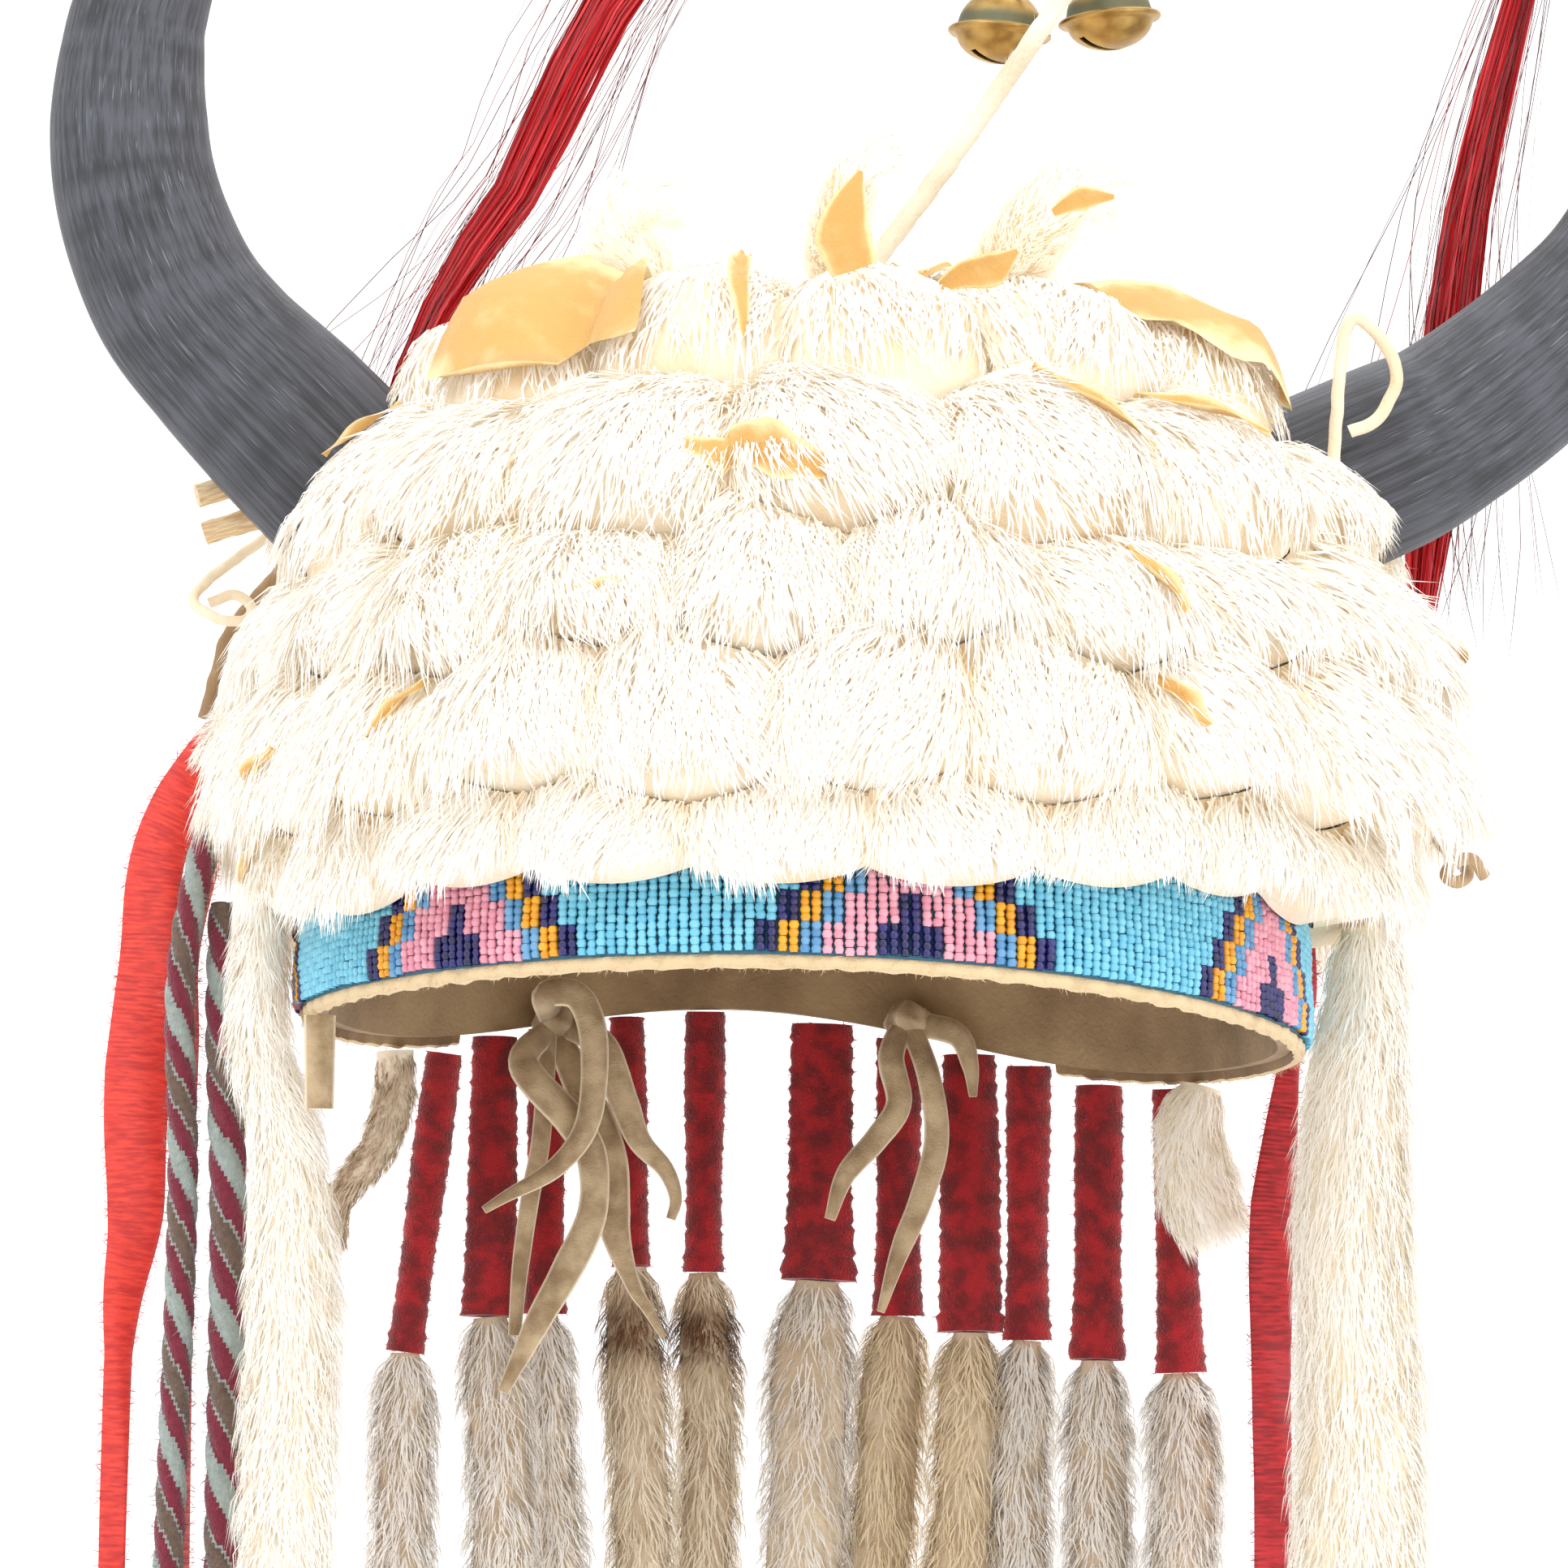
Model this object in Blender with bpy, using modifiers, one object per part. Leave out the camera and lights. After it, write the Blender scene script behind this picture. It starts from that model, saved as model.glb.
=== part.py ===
"""Split horn headdress.

A hide skull cap with a beaded brow band, tiers of cut fur strips, two split horns with red
horsehair plumes, a wrapped crown rod with two brass bells, and wool-wrapped fur tails, ribbons,
yarn ropes and hide thongs that hang from the rim. Metres, +Z up. The front faces -Y and the
wearer's right horn is at -X. The origin is the centre of the head opening, at the band's lower rim.
"""

import math

import bmesh
import bpy
from mathutils import Matrix, Vector

# Clearance between two pieces that touch on the real headdress.
GAP = 0.0003

# Head opening and cap.
HEAD_HALF_WIDTH = 0.0872
HEAD_HALF_DEPTH = 0.0992
CAP_WALL = 0.0025
CAP_RISE = 0.118
CAP_POWER = 2.6
BASE_Z = -0.006
# The cap and what is wrapped round it share their columns, so their flat facets lie parallel.
CAP_COLUMNS = 36
CAP_HALF_WIDTH = HEAD_HALF_WIDTH + CAP_WALL
CAP_HALF_DEPTH = HEAD_HALF_DEPTH + CAP_WALL

# The rim's run round the head: it rises a little in front and more behind, and dips to the right.
RIM_FRONT_RISE = 0.004
RIM_BACK_RISE = 0.013
RIM_SLOPE = 0.04
CAP_RIM_SET_BACK = 0.002

# Brow band and its beadwork, wrapped round the cap.
BAND_WALL = 0.0015
BAND_HEIGHT = 0.036
BAND_HALF_TURN = math.radians(140)
BEAD_THICKNESS = 0.0019
BEAD_EDGE = 0.0024
BEAD_HALF_TURN = math.radians(130)
BAND_OUT = GAP + BAND_WALL
BEAD_OUT = BAND_OUT + GAP + BEAD_THICKNESS

# Envelope of the fur tiers. The fur stands wider on the +X side.
FUR_HALF_WIDTH = 0.120
FUR_SIDE_SHIFT = 0.009
FUR_HALF_DEPTH = 0.120
FUR_RISE = 0.149
FUR_POWER = 3.5
FUR_COLUMNS = 60
FUR_GROOVE = 0.24
FUR_TOP = 0.97
TIER_GAP = 0.0022
# The fur's clearance from the cap and from the beadwork.
FUR_CLEAR = 0.0009

# Horns: half shells, open at the back.
HORN_LENGTH = 0.25
HORN_WIDTH = 0.0355
HORN_DEPTH = 0.42
HORN_WALL = 0.0032

# Crown rod and bells.
ROD_RADIUS = 0.0019
TIE_WIDTH = 0.003
TIE_THICKNESS = 0.0012
BELL_RADIUS = 0.0081
BELL_FLANGE = 0.0097
BELL_FLANGE_THICKNESS = 0.0008
BELL_UPPER = 0.0084
BELL_LOWER = 0.0056
BELL_WALL = 0.0006
BELL_SLOT = 0.0016
BELL_STEPS = 12

# Hanging drops: a wool wrap and an ermine tail below it.
WRAP_LENGTH = 0.054
WRAP_WIDTH = 0.0105
WRAP_THICKNESS = 0.0046
TAIL_BOTTOM = -0.112
TAIL_WIDTH = 0.0135
TAIL_THICKNESS = 0.0064
ROW_STAGGER = 0.0037

# Straps, ribbons and cords.
THONG_THICKNESS = 0.0014
THONG_WIDTH = 0.0062
RIBBON_THICKNESS = 0.0010
ROPE_A_RADIUS = 0.0029
ROPE_B_RADIUS = 0.0036
CURLY_RADIUS = 0.0010
STRAP_RADIUS = 0.0012
LOOP_RADIUS = 0.0012
PEG_RADIUS = 0.0022

NAME = "split_horn_headdress"

# Colour, roughness and metallic value of each material.
MATERIALS = {
    "hide": ((0.42, 0.30, 0.19), 0.9, 0.0),
    "beads": ((0.16, 0.52, 0.70), 0.35, 0.0),
    "fur": ((0.93, 0.90, 0.85), 0.95, 0.0),
    "tail_fur": ((0.72, 0.66, 0.58), 0.95, 0.0),
    "horn": ((0.06, 0.06, 0.07), 0.4, 0.0),
    "horsehair": ((0.60, 0.03, 0.04), 0.6, 0.0),
    "white_hide": ((0.85, 0.80, 0.66), 0.9, 0.0),
    "brass": ((0.45, 0.30, 0.12), 0.35, 1.0),
    "red_wool": ((0.36, 0.01, 0.02), 0.95, 0.0),
    "ribbon": ((0.85, 0.06, 0.03), 0.5, 0.0),
    "yarn": ((0.20, 0.08, 0.08), 0.95, 0.0),
    "yarn_grey": ((0.28, 0.32, 0.28), 0.95, 0.0),
    "rawhide": ((0.75, 0.60, 0.40), 0.6, 0.0),
}


def clear_scene():
    for item in list(bpy.data.objects):
        bpy.data.objects.remove(item, do_unlink=True)


def collection(name):
    made = bpy.data.collections.new(name)
    bpy.context.scene.collection.children.link(made)
    return made


def material(object_name, key):
    """Each piece has a material of its own, with its kind's values."""
    colour, rough, metal = MATERIALS[key]
    made = bpy.data.materials.new(object_name)
    made.use_nodes = True
    shader = made.node_tree.nodes["Principled BSDF"]
    shader.inputs["Base Color"].default_value = (*colour, 1.0)
    shader.inputs["Roughness"].default_value = rough
    shader.inputs["Metallic"].default_value = metal
    return made


def mesh_object(name, vertices, faces, kind, smooth=True):
    mesh = bpy.data.meshes.new(name)
    mesh.from_pydata([tuple(v) for v in vertices], [], faces)
    box = bmesh.new()
    box.from_mesh(mesh)
    bmesh.ops.recalc_face_normals(box, faces=box.faces)
    box.to_mesh(mesh)
    box.free()
    if smooth:
        mesh.shade_smooth()
        mesh.set_sharp_from_angle(angle=math.radians(40))
    made = bpy.data.objects.new(name, mesh)
    if kind is None:
        CUTTERS.objects.link(made)
        made.hide_render = True
        made.display_type = "WIRE"
    else:
        mesh.materials.append(material(name, kind))
        PARTS.objects.link(made)
    return made


def make_cutter(item):
    """Moves a primitive to the cutters."""
    for owner in list(item.users_collection):
        owner.objects.unlink(item)
    CUTTERS.objects.link(item)
    item.hide_render = True
    item.display_type = "WIRE"


def loft(name, sections, kind, closed=False):
    """A solid through sections that have as many points each, as a ring if closed."""
    count = len(sections[0])
    vertices = [p for section in sections for p in section]
    faces = []
    for row in range(len(sections) if closed else len(sections) - 1):
        here, there = row * count, (row + 1) % len(sections) * count
        for i in range(count):
            j = (i + 1) % count
            faces.append((here + i, here + j, there + j, there + i))
    if not closed:
        faces.append(tuple(range(count)))
        faces.append(tuple(range(len(vertices) - count, len(vertices))))
    return mesh_object(name, vertices, faces, kind)


def boolean(target, cutter, operation="DIFFERENCE"):
    step = target.modifiers.new(f"{operation.lower()}_{cutter.name}", "BOOLEAN")
    step.operation = operation
    step.solver = "EXACT"
    step.object = cutter


def smooth_route(points, per_span):
    """A Catmull-Rom curve through the points, with per_span steps in each span."""
    points = [Vector(p) for p in points]
    ends = [2 * points[0] - points[1], *points, 2 * points[-1] - points[-2]]
    route = []
    for a, b, c, d in zip(ends, ends[1:], ends[2:], ends[3:]):
        for step in range(per_span):
            t = step / per_span
            route.append(
                0.5
                * (
                    2 * b
                    + (c - a) * t
                    + (2 * a - 5 * b + 4 * c - d) * t**2
                    + (3 * b - a - 3 * c + d) * t**3
                )
            )
    return [*route, points[-1]]


def millimetres(rows):
    return [Vector(row) * 0.001 for row in rows]


def share_at(shares, t):
    """A value read from evenly spaced shares at t from 0 to 1."""
    place = min(max(t, 0.0), 1.0) * (len(shares) - 1)
    low = min(int(place), len(shares) - 2)
    return shares[low] + (shares[low + 1] - shares[low]) * (place - low)


def tangent(route, i):
    return (route[min(i + 1, len(route) - 1)] - route[max(i - 1, 0)]).normalized()


def strip(name, route, width, shares, thickness, kind, across=None, grow=0.0):
    """A flat strap along the route. Its broad side faces the front unless across says how it lies."""
    sections = []
    for i, point in enumerate(route):
        along = tangent(route, i)
        side = Vector(across) if across else Vector((0, 1, 0)).cross(along)
        side = (side - along * side.dot(along)).normalized()
        out = along.cross(side)
        half = width * share_at(shares, i / (len(route) - 1)) / 2 + grow
        deep = thickness / 2 + grow
        sections.append(
            [
                point - side * half - out * deep,
                point + side * half - out * deep,
                point + side * half + out * deep,
                point - side * half + out * deep,
            ]
        )
    return loft(name, sections, kind)


def round_loft(name, route, half_widths, half_depths, kind, sides=8, lobes=0, flute=0.0):
    """A rounded body along the route, with lobes that stand for the locks of its hair."""
    sections = []
    for i, point in enumerate(route):
        along = tangent(route, i)
        side = Vector((0, 1, 0)).cross(along).normalized()
        out = along.cross(side)
        t = i / (len(route) - 1)
        section = []
        for k in range(sides):
            angle = 2 * math.pi * k / sides
            swell = 1 + flute * math.cos(lobes * angle + 2.0 * t)
            x = share_at(half_widths, t) * swell * math.cos(angle)
            y = share_at(half_depths, t) * swell * math.sin(angle)
            section.append(point + side * x + out * y)
        sections.append(section)
    return loft(name, sections, kind)


def tube(name, route, radius, kind):
    """A cord: a curve with a round bevel and filled caps."""
    curve = bpy.data.curves.new(name, "CURVE")
    curve.dimensions = "3D"
    curve.bevel_depth = radius
    curve.bevel_resolution = 2
    curve.use_fill_caps = True
    spline = curve.splines.new("POLY")
    spline.points.add(len(route) - 1)
    for place, point in zip(spline.points, route):
        place.co = (*point, 1.0)
    curve.materials.append(material(name, kind))
    made = bpy.data.objects.new(name, curve)
    PARTS.objects.link(made)
    return made


def superellipse(up, power):
    """Reach outward and upward, as shares, at up from 0 at the base plane to 1 at the crown."""
    angle = up * math.pi / 2
    size = (math.cos(angle) ** power + math.sin(angle) ** power) ** (-1 / power)
    return math.cos(angle) * size, math.sin(angle) * size


def cap_point(turn, up, off=0.0):
    """A point on the cap's outer face, or off metres outside it. Turn 0 is the front, 90 is +X."""
    out, high = superellipse(up, CAP_POWER)
    return Vector(
        (
            (CAP_HALF_WIDTH + off) * out * math.sin(turn),
            -(CAP_HALF_DEPTH + off) * out * math.cos(turn),
            BASE_Z + (CAP_RISE + off) * high,
        )
    )


def wall_point(turn, z, off=0.0):
    """A point on the same face at a height."""
    high = (z - BASE_Z) / (CAP_RISE + off)
    out = (1 - high**CAP_POWER) ** (1 / CAP_POWER)
    return Vector(
        (
            (CAP_HALF_WIDTH + off) * out * math.sin(turn),
            -(CAP_HALF_DEPTH + off) * out * math.cos(turn),
            z,
        )
    )


def fur_point(turn, up):
    """A point on the fur's envelope."""
    out, high = superellipse(up, FUR_POWER)
    half_width = FUR_HALF_WIDTH + FUR_SIDE_SHIFT * math.sin(turn)
    return Vector(
        (
            half_width * out * math.sin(turn),
            -FUR_HALF_DEPTH * out * math.cos(turn),
            BASE_Z + FUR_RISE * high,
        )
    )


def rim_z(turn):
    front = max(0.0, math.cos(turn)) ** 2
    back = max(0.0, -math.cos(turn)) ** 5
    slope = -RIM_SLOPE * CAP_HALF_WIDTH * math.sin(turn)
    return RIM_FRONT_RISE * front + RIM_BACK_RISE * back + slope


def make_cap():
    """The hide skull cap: two faces joined at the rim, open below."""
    columns, rows = CAP_COLUMNS, 6
    vertices, faces = [], []
    for off in (0.0, -CAP_WALL):
        for i in range(columns):
            turn = 2 * math.pi * i / columns
            high = (rim_z(turn) + CAP_RIM_SET_BACK - BASE_Z) / (CAP_RISE + off)
            out = (1 - high**CAP_POWER) ** (1 / CAP_POWER)
            low = math.atan2(high, out) * 2 / math.pi
            for k in range(rows):
                vertices.append(cap_point(turn, low + (1 - low) * k / rows, off))
        vertices.append(cap_point(0.0, 1.0, off))
    half = columns * rows + 1
    for shell in (0, half):
        for i in range(columns):
            j = (i + 1) % columns
            for k in range(rows - 1):
                a, b = shell + i * rows + k, shell + j * rows + k
                faces.append((a, b, b + 1, a + 1))
            faces.append((shell + (i + 1) * rows - 1, shell + j * rows + rows - 1, shell + half - 1))
    for i in range(columns):
        j = (i + 1) % columns
        faces.append((i * rows, j * rows, half + j * rows, half + i * rows))
    return mesh_object("cap", vertices, faces, "hide")


def make_cap_envelope():
    """A solid as large as the cap's outside plus the gap, which trims what is sewn to the cap.

    Its columns stand half a step aside, so none lies in the plane of the horns' backs.
    """
    columns, rows = 2 * CAP_COLUMNS, 24
    vertices = [cap_point(0.0, 1.0, GAP)]
    for k in range(rows):
        up = k / rows
        for i in range(columns):
            vertices.append(cap_point(2 * math.pi * (i + 0.5) / columns, up, GAP))
    faces = [tuple(range(1, columns + 1))]
    for k in range(rows - 1):
        for i in range(columns):
            a, b = 1 + k * columns + i, 1 + k * columns + (i + 1) % columns
            faces.append((a, b, b + columns, a + columns))
    last = 1 + (rows - 1) * columns
    faces += [(last + i, last + (i + 1) % columns, 0) for i in range(columns)]
    return mesh_object("cap_envelope", vertices, faces, None)


def wall_band(name, half_turn, low, high, inner, outer, kind):
    """A strap round the cap between two heights above the rim, from inner to outer offset."""
    columns = round(half_turn / math.pi * CAP_COLUMNS)
    sections = []
    for i in range(columns + 1):
        turn = half_turn * (2 * i / columns - 1)
        base = rim_z(turn)
        middle = (low + high) / 2
        sections.append(
            [wall_point(turn, base + h, inner) for h in (low, middle, high)]
            + [wall_point(turn, base + h, outer) for h in (high, middle, low)]
        )
    return loft(name, sections, kind)


# The fur tiers from the crown down: locks round the head, how far the first lock is turned,
# where the tips end and how far they zigzag, both as shares of the way up, how much of the fur's
# depth they fill at their roots and at their tips, and the spans of the inner face.
TIERS = (
    ("fur_tier_crown", 12, 0.3, 0.56, 0.030, 0.78, 1.00, 4),
    ("fur_tier_upper", 15, 0.6, 0.41, 0.022, 0.62, 0.94, 2),
    ("fur_tier_middle", 20, 0.1, 0.31, 0.018, 0.60, 0.96, 2),
    ("fur_tier_lower", 20, 0.5, 0.205, 0.016, 0.62, 1.00, 1),
    ("fur_tier_brow", 20, 0.0, 0.141, 0.014, 0.45, 0.62, 1),
)
# Along a lock, from root to tip: the place, and how full it stays there.
LOCK_ROWS = ((0.0, 1.0), (0.5, 1.0), (0.85, 0.97), (1.0, 0.72))
LOWEST_BARE_TIER = 3


def lock_bulge(tier, column):
    """0 in the groove between two locks, 1 along a lock's middle."""
    _, locks, phase, *_ = TIERS[tier]
    return math.sin(math.pi * ((column * locks / FUR_COLUMNS + phase) % 1.0)) ** 0.7


def tip_line(tier, column):
    """Where a tier ends at this column, as a share of the way up."""
    if tier < 0:
        return FUR_TOP
    _, locks, phase, tip, zigzag, *_ = TIERS[tier]
    lock = math.floor(column * locks / FUR_COLUMNS + phase) % locks
    uneven = 0.5 * math.sin(2.4 * lock + tier)
    return tip + zigzag * (0.6 - 1.2 * lock_bulge(tier, column) + uneven)


def inner_offset(tier):
    """How far the inner face is from the cap: the lowest tiers pass over the beaded band."""
    return FUR_CLEAR if tier < LOWEST_BARE_TIER else BEAD_OUT + FUR_CLEAR


def lock_point(tier, column, row):
    """A point on a tier's inner face, and the one outside it on the locks' face, at a lock's row."""
    *_, root_full, tip_full, _ = TIERS[tier]
    turn = 2 * math.pi * column / FUR_COLUMNS
    top = tip_line(tier - 1, column) - TIER_GAP / 2
    tip = tip_line(tier, column) + TIER_GAP / 2
    place, round_off = LOCK_ROWS[row]
    up = top + (tip - top) * place
    full = (root_full + (tip_full - root_full) * place) * round_off
    full *= 1 - FUR_GROOVE * (1 - lock_bulge(tier, column))
    inside = cap_point(turn, up, inner_offset(tier))
    return inside, inside.lerp(fur_point(turn, up), full)


def fur_seat(seat, lift):
    """The place lift away from a tier's face: tier, column and lock row. The last row is the tips."""
    tier, column, row = seat
    if row == len(LOCK_ROWS) - 1:
        return tips_seat(tier, column, lift)
    inside, outside = lock_point(tier, column, row)
    return outside + (outside - inside).normalized() * lift


def tips_seat(tier, column, reach):
    """The place just under a tier's tips for a piece that reaches this far to each side."""
    row = len(LOCK_ROWS) - 1
    inside, outside = lock_point(tier, column, row)
    aside = min(reach / (2 * math.pi * FUR_HALF_WIDTH / FUR_COLUMNS), 1.0)
    inward = min(reach / (outside - inside).length, 1.0)
    low = outside.lerp(inside, inward).z
    for step in (-1, 1):
        there_in, there_out = lock_point(tier, column + step, row)
        edge_out = outside.lerp(there_out, aside)
        edge_in = inside.lerp(there_in, aside)
        low = min(low, edge_out.z, edge_out.lerp(edge_in, inward).z)
    return Vector((outside.x, outside.y, low - GAP))


def seated(points, foot):
    """A route charted in millimetres, moved so that its first point lies at the foot."""
    charted = millimetres(points)
    return [foot + (point - charted[0]) for point in charted]


def rim_seat(turn, drop):
    """The place under the rim at this turn: the band's edge where the band runs, else the cap's."""
    if math.cos(turn) > math.cos(BAND_HALF_TURN):
        edge = wall_point(turn, rim_z(turn), BAND_WALL / 2)
    else:
        edge = wall_point(turn, rim_z(turn) + CAP_RIM_SET_BACK, -CAP_WALL / 2)
    return edge - Vector((0, 0, drop))


def make_tier(tier):
    sections = []
    spans = TIERS[tier][-1]
    for column in range(FUR_COLUMNS):
        turn = 2 * math.pi * column / FUR_COLUMNS
        top = tip_line(tier - 1, column) - TIER_GAP / 2
        tip = tip_line(tier, column) + TIER_GAP / 2
        section = [lock_point(tier, column, row)[1] for row in range(len(LOCK_ROWS))]
        for k in range(spans + 1):
            section.append(cap_point(turn, tip + (top - tip) * k / spans, inner_offset(tier)))
        sections.append(section)
    return loft(TIERS[tier][0], sections, "fur", closed=True)


# Where each horn starts inside the cap: side, share of the way up, and how deep.
HORN_FEET = {
    "horn_left": (-90, 0.515, 0.010),
    "horn_right": (90, 0.525, 0.006),
}
# Centrelines of the horns from there to the tip, across and up, as shares of a horn's length, and
# their widths as shares of the horn's width at the fur.
HORN_ROUTES = {
    "horn_left": (
        (0.0, 0.0),
        (-0.076, 0.076),
        (-0.144, 0.144),
        (-0.192, 0.192),
        (-0.224, 0.232),
        (-0.246, 0.280),
        (-0.258, 0.324),
        (-0.262, 0.368),
        (-0.260, 0.412),
        (-0.252, 0.456),
        (-0.220, 0.532),
        (-0.164, 0.596),
        (-0.092, 0.640),
        (-0.020, 0.660),
    ),
    "horn_right": (
        (0.0, 0.0),
        (0.096, 0.064),
        (0.196, 0.112),
        (0.240, 0.136),
        (0.284, 0.168),
        (0.328, 0.206),
        (0.368, 0.248),
        (0.396, 0.296),
        (0.412, 0.348),
        (0.414, 0.400),
        (0.404, 0.456),
        (0.384, 0.508),
        (0.352, 0.556),
        (0.312, 0.592),
    ),
}
HORN_SHARES = (1.02, 1.02, 1.0, 0.93, 0.91, 0.88, 0.85, 0.82, 0.76, 0.70, 0.58, 0.42, 0.26, 0.10)


def horn_route(name):
    side, up, deep = HORN_FEET[name]
    foot = cap_point(math.radians(side), up, -deep)
    return [foot + HORN_LENGTH * Vector((x, 0, z)) for x, z in HORN_ROUTES[name]]


def horn_sections(route, grow):
    """Half-shell sections, or whole D sections that are larger by grow when it is given."""
    sections = []
    arc = 6
    for i, point in enumerate(route):
        along = tangent(route, i)
        side = Vector((0, 1, 0)).cross(along).normalized()
        wide = HORN_WIDTH * share_at(HORN_SHARES, i / (len(route) - 1)) / 2
        deep = 2 * wide * HORN_DEPTH
        wall = min(HORN_WALL, 0.35 * wide)
        outer, inner = [], []
        for k in range(arc):
            angle = math.pi * k / (arc - 1)
            outward = Vector((0, -1, 0)) * math.sin(angle)
            outer.append(
                point + side * (wide + grow) * math.cos(angle) + outward * (deep + grow)
            )
            inner.append(
                point + side * (wide - wall) * math.cos(angle) + outward * (deep - wall)
            )
        if grow:
            back = Vector((0, grow, 0))
            sections.append([*outer, outer[-1] + back, outer[0] + back])
        else:
            sections.append(outer + inner[::-1])
    return sections


def make_horn(name, envelope):
    route = horn_route(name)
    horn = loft(name, horn_sections(route, 0.0), "horn")
    boolean(horn, envelope)
    buried = route[:5]
    sections = horn_sections(route, GAP)[: len(buried)]
    return loft(f"{name}_seat", sections, None)


# The falls of horsehair from behind the horns' tips: their routes in millimetres from the tip, and
# their widths as shares of a plume's width.
PLUME_ROUTES = {
    "plume_left": (
        (0, 1.9, -1.5),
        (15, 10, 3),
        (32, 18, -1),
        (43, 24, -12),
        (44, 26, -25),
        (31, 26, -44),
        (20, 26, -66),
        (15, 26, -78),
        (6, 26, -91),
        (-5, 26, -110),
        (-11, 26, -128),
    ),
    "plume_right": (
        (0, 1.6, -1),
        (4, 17, -13),
        (1, 27, -29),
        (-7, 30, -62),
        (-11, 30, -86),
        (-15, 30, -120),
        (-18, 30, -146),
    ),
}
PLUME_WIDTH = 0.0088
PLUME_SHARES = {
    "plume_left": (0.35, 0.5, 0.65, 0.75, 0.85, 0.95, 1.0, 0.85, 0.75, 0.5, 0.45),
    "plume_right": (0.35, 0.5, 0.7, 0.85, 1.0, 1.0, 0.6),
}


def make_plume(name, horn, grow=0.0):
    """A fall of horsehair: fluted locks that run together into one tapered bundle."""
    shares = PLUME_SHARES[name]
    tip = horn_route(horn)[-1]
    route = [tip + point for point in millimetres(PLUME_ROUTES[name])]
    wide = [PLUME_WIDTH * s / 2 + grow for s in shares]
    deep = [PLUME_WIDTH * s * 0.4 + grow for s in shares]
    if not grow:
        return round_loft(name, route, wide, deep, "horsehair", 10, 5, 0.16)
    wide = [1.2 * half for half in wide]
    deep = [1.2 * half for half in deep]
    return round_loft(f"{name}_seat", route, wide, deep, None)


# The rod's route and the bells' middles, in millimetres from the top of the cap's crown, and how far
# each bell is tilted, in degrees.
ROD_ROUTE = ((-14, -12, -4), (8, -12, 26.5), (26, -12, 51), (43, -12, 76), (53, -12, 91.5))
BELLS = {
    "bell_left": ((37.4, 1.0, 78.2), 5),
    "bell_right": ((58.2, 1.0, 81.2), -6),
}


def make_rod(envelope):
    """The hide-wrapped rod, and the thong that holds the bells behind its top."""
    crown = cap_point(0.0, 1.0)
    route = [crown + point for point in millimetres(ROD_ROUTE)]
    radii = [ROD_RADIUS] * len(route)
    rod = round_loft("crown_rod", route, radii, radii, "white_hide")
    boolean(rod, envelope)
    above = crown + Vector((0, 0, BELL_UPPER + GAP + TIE_THICKNESS / 2))
    ends = [above + Vector(place) * 0.001 for place, _ in BELLS.values()]
    behind = ROD_RADIUS + GAP + TIE_WIDTH / 2
    top = route[-1] + Vector((-TIE_WIDTH / 2, behind, -TIE_WIDTH / 2))
    thong = smooth_route([ends[0], top, ends[1]], 4)
    strip("bell_tie", thong, TIE_WIDTH, (1, 1), TIE_THICKNESS, "white_hide", across=(0, 1, 0))
    seat_radii = [ROD_RADIUS + GAP] * 3
    return round_loft("crown_rod_seat", route[:3], seat_radii, seat_radii, None)


def make_bell(name):
    """A hollow closed bell, turned, with a flange round its middle and a slot below."""
    place, tilt = BELLS[name]
    half = BELL_FLANGE_THICKNESS / 2
    profile = []
    for angle in (90, 52, 14):
        a = math.radians(angle)
        profile.append((BELL_RADIUS * math.cos(a), half + (BELL_UPPER - half) * math.sin(a)))
    profile += [(BELL_FLANGE, half), (BELL_FLANGE, -half)]
    for angle in (14, 52, 90):
        a = math.radians(angle)
        profile.append((BELL_RADIUS * math.cos(a), -half - (BELL_LOWER - half) * math.sin(a)))
    for angle in (90, 40, -40, -90):
        a = math.radians(angle)
        high = BELL_UPPER if angle < 0 else BELL_LOWER
        profile.append(
            ((BELL_RADIUS - BELL_WALL) * math.cos(a), -(high - BELL_WALL) * math.sin(a))
        )
    mesh = bpy.data.meshes.new(name)
    points = [(max(r, 0.0), 0.0, z) for r, z in profile]
    outer = 8
    edges = [(i, i + 1) for i in range(len(points) - 1) if i != outer - 1]
    mesh.from_pydata(points, edges, [])
    mesh.materials.append(material(name, "brass"))
    bell = bpy.data.objects.new(name, mesh)
    bell.location = cap_point(0.0, 1.0) + Vector(place) * 0.001
    bell.rotation_euler = (0, math.radians(tilt), 0)
    PARTS.objects.link(bell)
    turn = bell.modifiers.new("turn", "SCREW")
    turn.steps = BELL_STEPS
    turn.render_steps = BELL_STEPS
    turn.use_merge_vertices = True
    turn.merge_threshold = 0.00005
    bpy.ops.mesh.primitive_cube_add(size=1.0)
    slot = bpy.context.active_object
    slot.name = f"{name}_slot"
    slot.scale = (BELL_RADIUS * 1.5, BELL_SLOT, BELL_LOWER)
    slot.location = bell.location + Vector((0, 0, -BELL_LOWER))
    slot.rotation_euler = (0, math.radians(tilt), math.radians(25))
    make_cutter(slot)
    boolean(bell, slot)


# The fur curls that stand up from the crown: seat, route beyond it in millimetres, and width.
CURLS = {
    "crown_curl_left": (
        (0, 53, 1),
        ((-28, -33, 131), (-38, -42, 149), (-33, -44, 156), (-27, -43, 153)),
        0.94,
    ),
    "crown_curl_front": (
        (0, 0, 1),
        ((0, -46, 134), (1, -74, 150), (4, -72, 158), (9, -70, 164)),
        1.0,
    ),
    "crown_curl_right": (
        (0, 7, 1),
        ((31, -33, 134), (43, -60, 146), (48, -58, 153), (55, -57, 152)),
        0.94,
    ),
}
CURL_WIDTH = 0.0095
CURL_THICKNESS = 0.005
CURL_SINK = 0.0028


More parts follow.
